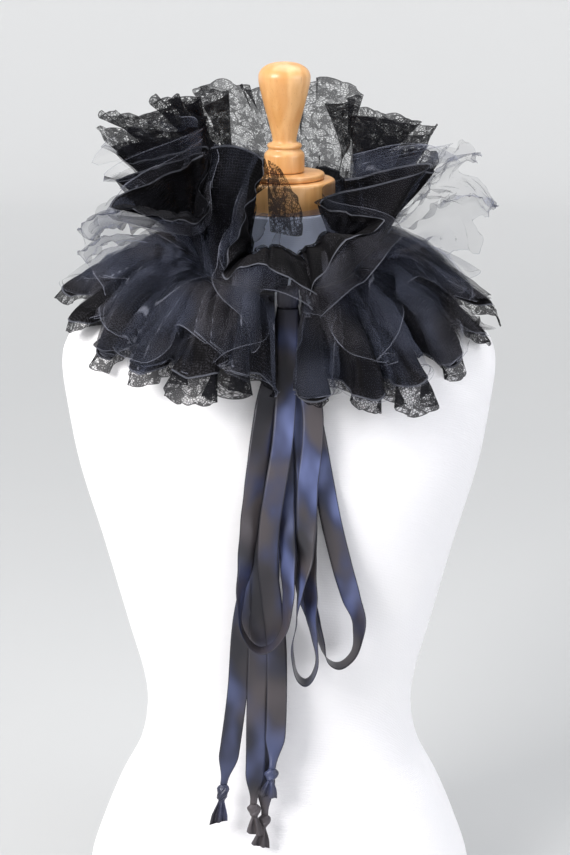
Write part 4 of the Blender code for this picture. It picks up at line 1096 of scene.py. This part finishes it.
def cut_back(kept, grids):
    """Grids read again over the share of their depth that is kept at each row."""
    rows, columns = grids[0].shape[:2]
    over = np.arange(columns) * kept[:, None]
    return [read_grid(np.broadcast_to(grid, (rows, columns, grid.shape[-1])), np.arange(rows)[:, None], over)
            for grid in grids]


def shaded(cut, made, row, share, calm, deep):
    """How much painted shade a layer takes: 0 on a fold's ridge and 1 deep between folds, by how far a point
    lies below the calmed cloth, and on the lower ruffle below the tie too."""
    out = facing(calmed(made, calm)) * cut.side
    dark = ease(-0.002, deep, ((calmed(made, EASED_AWAY) - made) * out).sum(axis=-1))
    return np.maximum(dark, under_tie(row, share, len(cut.folds) - 1)) if cut.side < 0 else dark


def ruffle(name, cut, finishes):
    """The three layers of one ruffle on one shared, creased middle surface."""
    _, row = hem_rows(cut.folds)
    share = np.linspace(0, 1, ACROSS + 1)
    share_past = np.concatenate([share, np.ones(PAST)])
    grid = ruffle_grid(cut, share)
    hem = run_length(grid[:, -1], 0)
    across, along = hem[:, None] + 0 * grid[..., 0], run_length(grid, 1)
    grid = creased_middle(cut, row, share, grid, across, along)
    for layer, step in (("lace", -1), ("mesh", 0), ("tulle", 1)):
        made = layer_beside(cut, layer, step, row, share, grid, across, along) if step else grid
        pattern = points(hem[:, None], run_length(made, 1))
        kept = kept_share(cut.short[layer], row)
        if layer == "lace":
            sheer = (1 - kept_share(cut.short["mesh"], row)) * ease(9.0, 11.5, row)
            fields = {"sheer": sheer[:, None]}
        elif layer == "mesh":
            # painted shade of the mesh between its folds
            fields = {"painted_shade": shaded(cut, made, row[:, None], share, 30, 0.009)}
        else:
            # the tulle's painted shade between its folds
            made, edge, pattern = pleated_tulle(cut, made, hem, row, share_past)
            full = evenly(cut.folds, len(made))
            bare = sum(np.exp(-((full[:, None] - place) / half) ** 4) for place, half in cut.bare)
            fields = {"edge": edge, "bare": bare, "dense": (1 - share_past) ** 2 + 0 * edge,
                      "painted_shade": shaded(cut, made, full[:, None], share_past, 40, 0.006)}
            ragged = waves(cut.seed + 31, 5, 0.10, 0.34, np.linspace(0, hem[-1], len(made)), 0)
            kept = kept_share(cut.short[layer], full) * (1 - cut.ragged * ease(0.0, 1.4, ragged))
        grids = [made, pattern] + [field[..., None] for field in fields.values()]
        made, pattern, *values = cut_back(kept, grids)
        fields = {field: value[..., 0] for field, value in zip(fields, values)}
        lay_sheet(f"{layer}_{name}_cloth", made, layer, finishes, pattern, fields, cut.side < 0,
                  [f"{layer}_{name}"], length=at_hem)


# -------------------- loose drapes

def loose_drape(name, drape, finishes):
    """A loose sheet: a smooth surface through its table of places, pleated and crumpled.

    The crumple is a sum of sharp folds, each 1 - |sin| of a slanting wave, and its free edge is
    uneven because each row's reach is scaled a little.
    """
    places = np.array(drape.places) / MM
    down = smooth_rows(places, evenly(places, DRAPE_COLUMNS)).transpose(1, 0, 2)
    base = smooth_rows(down, evenly(down, DRAPE_ROWS))
    hem = run_length(base[:, -1], 0)
    uneven = 1 - 0.10 * (1 + waves(drape.seed + 4, 4, 0.03, 0.09, hem, 0 * hem))[:, None]
    base = read_grid(base, np.arange(DRAPE_ROWS)[:, None], np.arange(DRAPE_COLUMNS) * uneven)
    out = facing(base)
    out = out * np.where(out[..., 2:] < 0, -1, 1)
    made, edge, pattern = pleated(base, out, hem, drape.pleats, drape.seed, DRAPE_ROWS * 2 - 1, DRAPE_ENDS)
    across, along = pattern[..., 0], pattern[..., 1]
    ruck = 0.0
    for turn, length in ((0.5, 0.031), (-0.7, 0.024), (1.2, 0.038)):
        way = across * math.cos(turn) + along * math.sin(turn)
        way = way / length + 0.5 * waves(drape.seed + 7, 4, 0.05, 0.12, across, along)
        ruck = ruck + (1 - abs(np.sin(math.pi * way)) * 1.6) * length * 0.10
    made = made + facing(made) * (ruck * ease(0, 0.03, along) * drape.rucked)[..., None]
    fields = {"edge": edge, "dense": drape.thick + 0.35 * ease(0.06, 0.0, along)}
    lay_sheet(name, made, drape.finish, finishes, pattern, fields, drape.finish == "tulle")


def overlay(name, laid, finishes):
    """A loose sheet over a ruffle: the ruffle's surface with its folds eased away, stood off by
    more the further out it is, read between its rows out to its hem, and pleated."""
    cut = RUFFLES[laid.ruffle]
    last = len(cut.folds) - 1
    share = np.linspace(0, OVERLAY_REACH, 51)
    grid = calmed(ruffle_grid(cut, share), 130)
    grid = grid + facing(grid) * cut.side * (laid.lift * (0.3 + share))[None, :, None]
    hem_row, hem_share = np.transpose(laid.hem)
    row = np.linspace(hem_row[0], hem_row[-1], OVERLAY_ROWS)
    reach = smooth_rows(hem_share, np.interp(row, hem_row, np.arange(len(hem_row))))
    start = np.linspace(0.05, 1, DRAPE_COLUMNS)
    base = read_grid(grid, (row * (len(grid) - 1) / last)[:, None],
                     start * reach[:, None] * (len(share) - 1) / OVERLAY_REACH)
    hem = run_length(base[:, -1], 0)
    out = facing(base) * cut.side
    made, edge, pattern = pleated(base, out, hem, laid.pleats, laid.seed, OVERLAY_FINE, DRAPE_ENDS)
    fields = {"edge": edge, "bare": 0.2, "dense": 0.25 * ease(0.03, 0.0, pattern[..., 1])}
    # painted shade under the upper ruffle
    if cut.side < 0:
        fine = np.linspace(0, OVERLAY_ROWS - 1, len(made))
        way_out = start * np.interp(fine, np.arange(OVERLAY_ROWS), reach)[:, None]
        fields["painted_shade"] = under_tie(np.linspace(row[0], row[-1], len(made))[:, None], way_out, last)
    lay_sheet(name, made, "tulle", finishes, pattern, fields, cut.side < 0,
              width=np.max, length=np.max)


# -------------------- ribbons

def drape_line(height):
    """How far forward a ribbon hangs: over the chest, and straight down from its fullest."""
    levels = np.arange(NECK_TOP, 0.0, -0.002)
    fullest = np.maximum.accumulate(form_radius(levels, 0.0))
    return np.interp(height, levels[::-1], fullest[::-1])


def hang(places):
    """Points given by their depth in front of the drape line, moved to where they hang."""
    hung = np.array(places)
    hung[..., 1] -= drape_line(hung[..., 2])
    return hung


def ribbon(name, places, finish):
    """A flat ribbon carried along its path, a little cupped and swaying, with a thin wall. A
    tail is drawn together towards the knot at its end."""
    last = len(places) - 1
    at = np.linspace(0, last, last * RIBBON_FINE + 1)
    x, depth, z, turn = (read_rows(places, field, at) for field in Place._fields)
    centre = points(x, -depth, z)
    along = unit(np.gradient(centre, axis=0))
    away = np.array([0.0, 1.0, 0.0])
    sideways = unit(np.cross(along, away))
    forward = -unit(away - along * (along @ away)[:, None])
    angle = np.radians(turn)[:, None]
    width = np.cos(angle) * sideways + np.sin(angle) * forward
    thick = np.cross(along, width)
    across = np.linspace(-1, 1, RIBBON_ACROSS + 1)
    run = run_length(centre[:, None], 0)
    left = run[-1] - run
    drawn = 1 - TAIL_DRAWN * ease(0.030, 0.002, left) if name.startswith("ribbon_tail") else 1 + 0 * run
    cup = (RIBBON_CUP + RIBBON_GATHERED * (1 - drawn)) * (1 - across**2)[None, :]
    seed = len(places) + int(1000 * abs(places[-1].x))
    sway = RIBBON_SWAY * waves(seed, 5, 0.03, 0.09, run, 0) * ease(0, 0.03, run) * ease(0, 0.02, left)
    grid = (centre[:, None] + width[:, None] * (across[None, :] * drawn * RIBBON_WIDTH / 2)[..., None]
            + thick[:, None] * (cup + sway)[..., None])
    grid[[0, -1], :, 2] = centre[[0, -1], None, 2]
    grid = hang(grid)
    length = run_length(grid[:, RIBBON_ACROSS // 2], 0)
    pattern = points(across * RIBBON_WIDTH / 2, length[:, None])
    knot = np.mean(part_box("bow_knot"), axis=0)
    # painted shade near the bow's knot
    knot_shade = np.exp(-(np.linalg.norm(grid - knot, axis=-1) / KNOT_SHADE_REACH) ** 4)
    piece = add_surface(name + "_satin", grid, finish, pattern, {"knot_shade": knot_shade})
    wall = piece.modifiers.new("wall", "SOLIDIFY")
    wall.thickness = RIBBON_WALL
    wall.offset = 0.0
    dress(piece, "satin", name)


def end_knot(name, knot, finish):
    """A tied knot below a tail's end, and its flared tip.

    A ring for each level, with its own half width and depth. On the knot two grooves slant round
    it, where one turn of the ribbon passes over the other, and the lobes between them stand
    proud. The tip is pleated like a fan, and its cut edge slopes.
    """
    last = RIBBONS[knot.tail][-1]
    top = hang([last.x, -last.depth, last.z - TOUCH])
    at = evenly(KNOT_LEVELS, 73)
    along, wide, deep = (read_rows(KNOT_LEVELS, field, at)[:, None] for field in KnotLevel._fields)
    turn = np.radians(around(KNOT_SIDES))
    key = knot.tip_fall * 200
    tied = ease(0.0, 0.07, along) * ease(0.44, 0.35, along)
    slant = np.sin(2 * turn + along * 15.0 + key)
    lobe = 1 + tied * (0.16 * slant - 0.30 * np.exp(-(slant / 0.22) ** 2) * (0.5 + 0.5 * np.cos(turn + key)))
    fan = ease(0.40, 0.62, along)
    pleat = fan * 0.0016 * np.sin(np.cos(turn) * 6.5 + key)
    cut = ease(0.75, 1.0, along) * 0.0022 * np.cos(turn) * math.copysign(1, math.sin(key))
    grid = points(top[0] + knot.tip_lean * along + wide * lobe * np.cos(turn) * (1 - 0.10 * tied),
                  top[1] + deep * lobe * np.sin(turn) - pleat - 0.0012 * fan,
                  top[2] - knot.tip_fall * along + cut)
    ends = [np.broadcast_to(grid[row].mean(axis=0), (1, KNOT_SIDES, 3)) for row in (0, -1)]
    grid = np.concatenate([ends[0], grid, ends[1]])
    pattern = points(np.linspace(-0.007, 0.007, KNOT_SIDES + 1), np.linspace(0, 0.04, len(grid))[:, None])
    dress(add_surface(name + "_satin", grid, finish, pattern, closed=True), "satin", name)


def bow_knot(finish):
    """The knot of the bow: a rounded block wrapped once by the ribbon, with soft pleats. Its
    section is a superellipse, smaller towards both ends by a power of the way."""
    box = np.array(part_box("bow_knot"))
    middle, half = box.mean(axis=0), (box[1] - box[0]) / 2
    turn = np.radians(around(BOW_SIDES))
    way = np.linspace(-1, 1, 41)[:, None]
    size = (1 - abs(way) ** 5) ** 0.35
    square = (abs(np.cos(turn)) ** BOW_POWER + abs(np.sin(turn)) ** BOW_POWER) ** (-1 / BOW_POWER)
    pleat = 1 - 0.05 * (0.5 + 0.5 * np.cos(way * 13.0 + 0.6 * np.sin(turn * 2))) * size
    reach = size * square * pleat
    grid = points(middle[0] + half[0] * way, middle[1] + half[1] * reach * np.sin(turn),
                  middle[2] + half[2] * reach * np.cos(turn))
    pattern = points(way * RIBBON_WIDTH / 2.4, np.linspace(0, 0.06, BOW_SIDES + 1))
    # painted shade over the whole knot
    piece = add_surface("bow_knot_satin", grid, finish, pattern, {"knot_shade": 0.9}, closed=True)
    dress(piece, "satin", "bow_knot")


# -------------------- studio

def backdrop():
    """A pale round floor that curves up into a low wall: a profile turned once about the middle."""
    paper = Finish("paper", Base_Color=(0.55, 0.55, 0.55), Roughness=0.95)
    place = paper.place()
    wide, deep, _ = paper.split(place)
    # painted light: the paper is paler and glows further out, so the far floor and wall stay bright
    far = ((wide * wide + deep * deep) ** 0.5).ease(1.0, 4.4)
    cloud = paper.noise(place, 2.2, 4.0)
    near = paper.blend(cloud, (0.485, 0.490, 0.497), (0.508, 0.510, 0.512))
    paper.set(Base_Color=paper.blend(far, near, (0.70, 0.70, 0.70)))
    glow = paper.blend(far, (0.0, 0.0, 0.0), (0.165, 0.166, 0.168))
    paper.set(Emission_Color=glow, Emission_Strength=1.0)
    bend = np.radians(np.linspace(0, 80, 17))
    curve = FLOOR_FLAT + FLOOR_BEND * np.sin(bend)
    reach = np.concatenate([[0.0, 1.0, 2.5], curve, [5.1]])
    high = np.concatenate([[0.0, 0.0, 0.0], FLOOR_BEND - FLOOR_BEND * np.cos(bend), [FLOOR_WALL]])
    grid = round_neck(around(TURNED_SIDES), reach[:, None], high[:, None])
    pattern = points(reach[:, None], np.linspace(0, 1, TURNED_SIDES + 1))
    add_surface("studio_floor", grid, paper.material, pattern, closed=True)


def lamp(name, place, aim, size, power, colour):
    """A square lamp at a place, turned to its aim: tilted from straight down by the angle to it,
    and turned about the upright by its heading."""
    light = bpy.data.lights.new(name, "AREA")
    light.size = size
    light.energy = power
    light.color = colour
    made = bpy.data.objects.new(name, light)
    bpy.context.scene.collection.objects.link(made)
    made.location = place
    made.visible_camera = False
    towards = np.array(aim) - np.array(place)
    flat = math.hypot(towards[0], towards[1])
    made.rotation_euler = (math.atan2(flat, -towards[2]), 0.0, math.atan2(-towards[0], towards[1]))


def studio():
    """Soft light from the upper left and a bright room, and a long-lens camera in front."""
    scene = bpy.context.scene
    world = bpy.data.worlds.new("room")
    world.use_nodes = True
    room = world.node_tree.nodes["Background"].inputs
    room["Color"].default_value = (0.94, 0.97, 1.0, 1.0)
    room["Strength"].default_value = 0.42
    scene.world = world
    lamp("window", (-2.0, -1.9, 2.2), (0, 0, 0.5), 1.5, 120.0, (1.0, 0.985, 0.965))
    lamp("fill", (2.4, -1.6, 1.3), (0, 0, 0.45), 1.6, 34.0, (0.94, 0.96, 1.0))
    lamp("ceiling", (0.2, 0.6, 2.9), (0, 0.3, 0.4), 2.4, 60.0, (1.0, 1.0, 1.0))
    view = bpy.data.cameras.new("camera")
    view.lens = 85.0
    view.sensor_width = 36.0
    view.clip_end = 30.0
    camera = bpy.data.objects.new("camera", view)
    scene.collection.objects.link(camera)
    aside, high = CAMERA_AIM
    rise = CAMERA_AWAY * math.sin(CAMERA_TILT)
    camera.location = (aside, -CAMERA_AWAY * math.cos(CAMERA_TILT), high + rise)
    camera.rotation_euler = (math.radians(90.0) - CAMERA_TILT, 0.0, 0.0)
    scene.camera = camera
    scene.view_settings.view_transform = "Standard"
    scene.cycles.transparent_max_bounces = 24


# -------------------- assembly

def build():
    """Every piece, and then the studio."""
    finishes = {"lace": lace_finish(), "mesh": mesh_finish(), "tulle": tulle_finish()}
    satin = satin_finish()
    form_body(jersey_finish())
    neck_wood(maple_finish())
    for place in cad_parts["gather_band"].material_slots:
        place.material = band_finish()
    for name, cut in RUFFLES.items():
        ruffle(name, cut, finishes)
    for name, drape in DRAPES.items():
        loose_drape(name, drape, finishes)
    for name, laid in OVERLAYS.items():
        overlay(name, laid, finishes)
    bow_knot(satin)
    for name, places in RIBBONS.items():
        ribbon(name, places, satin)
    for name, knot in END_KNOTS.items():
        end_knot(name, knot, satin)
    backdrop()
    studio()


build()
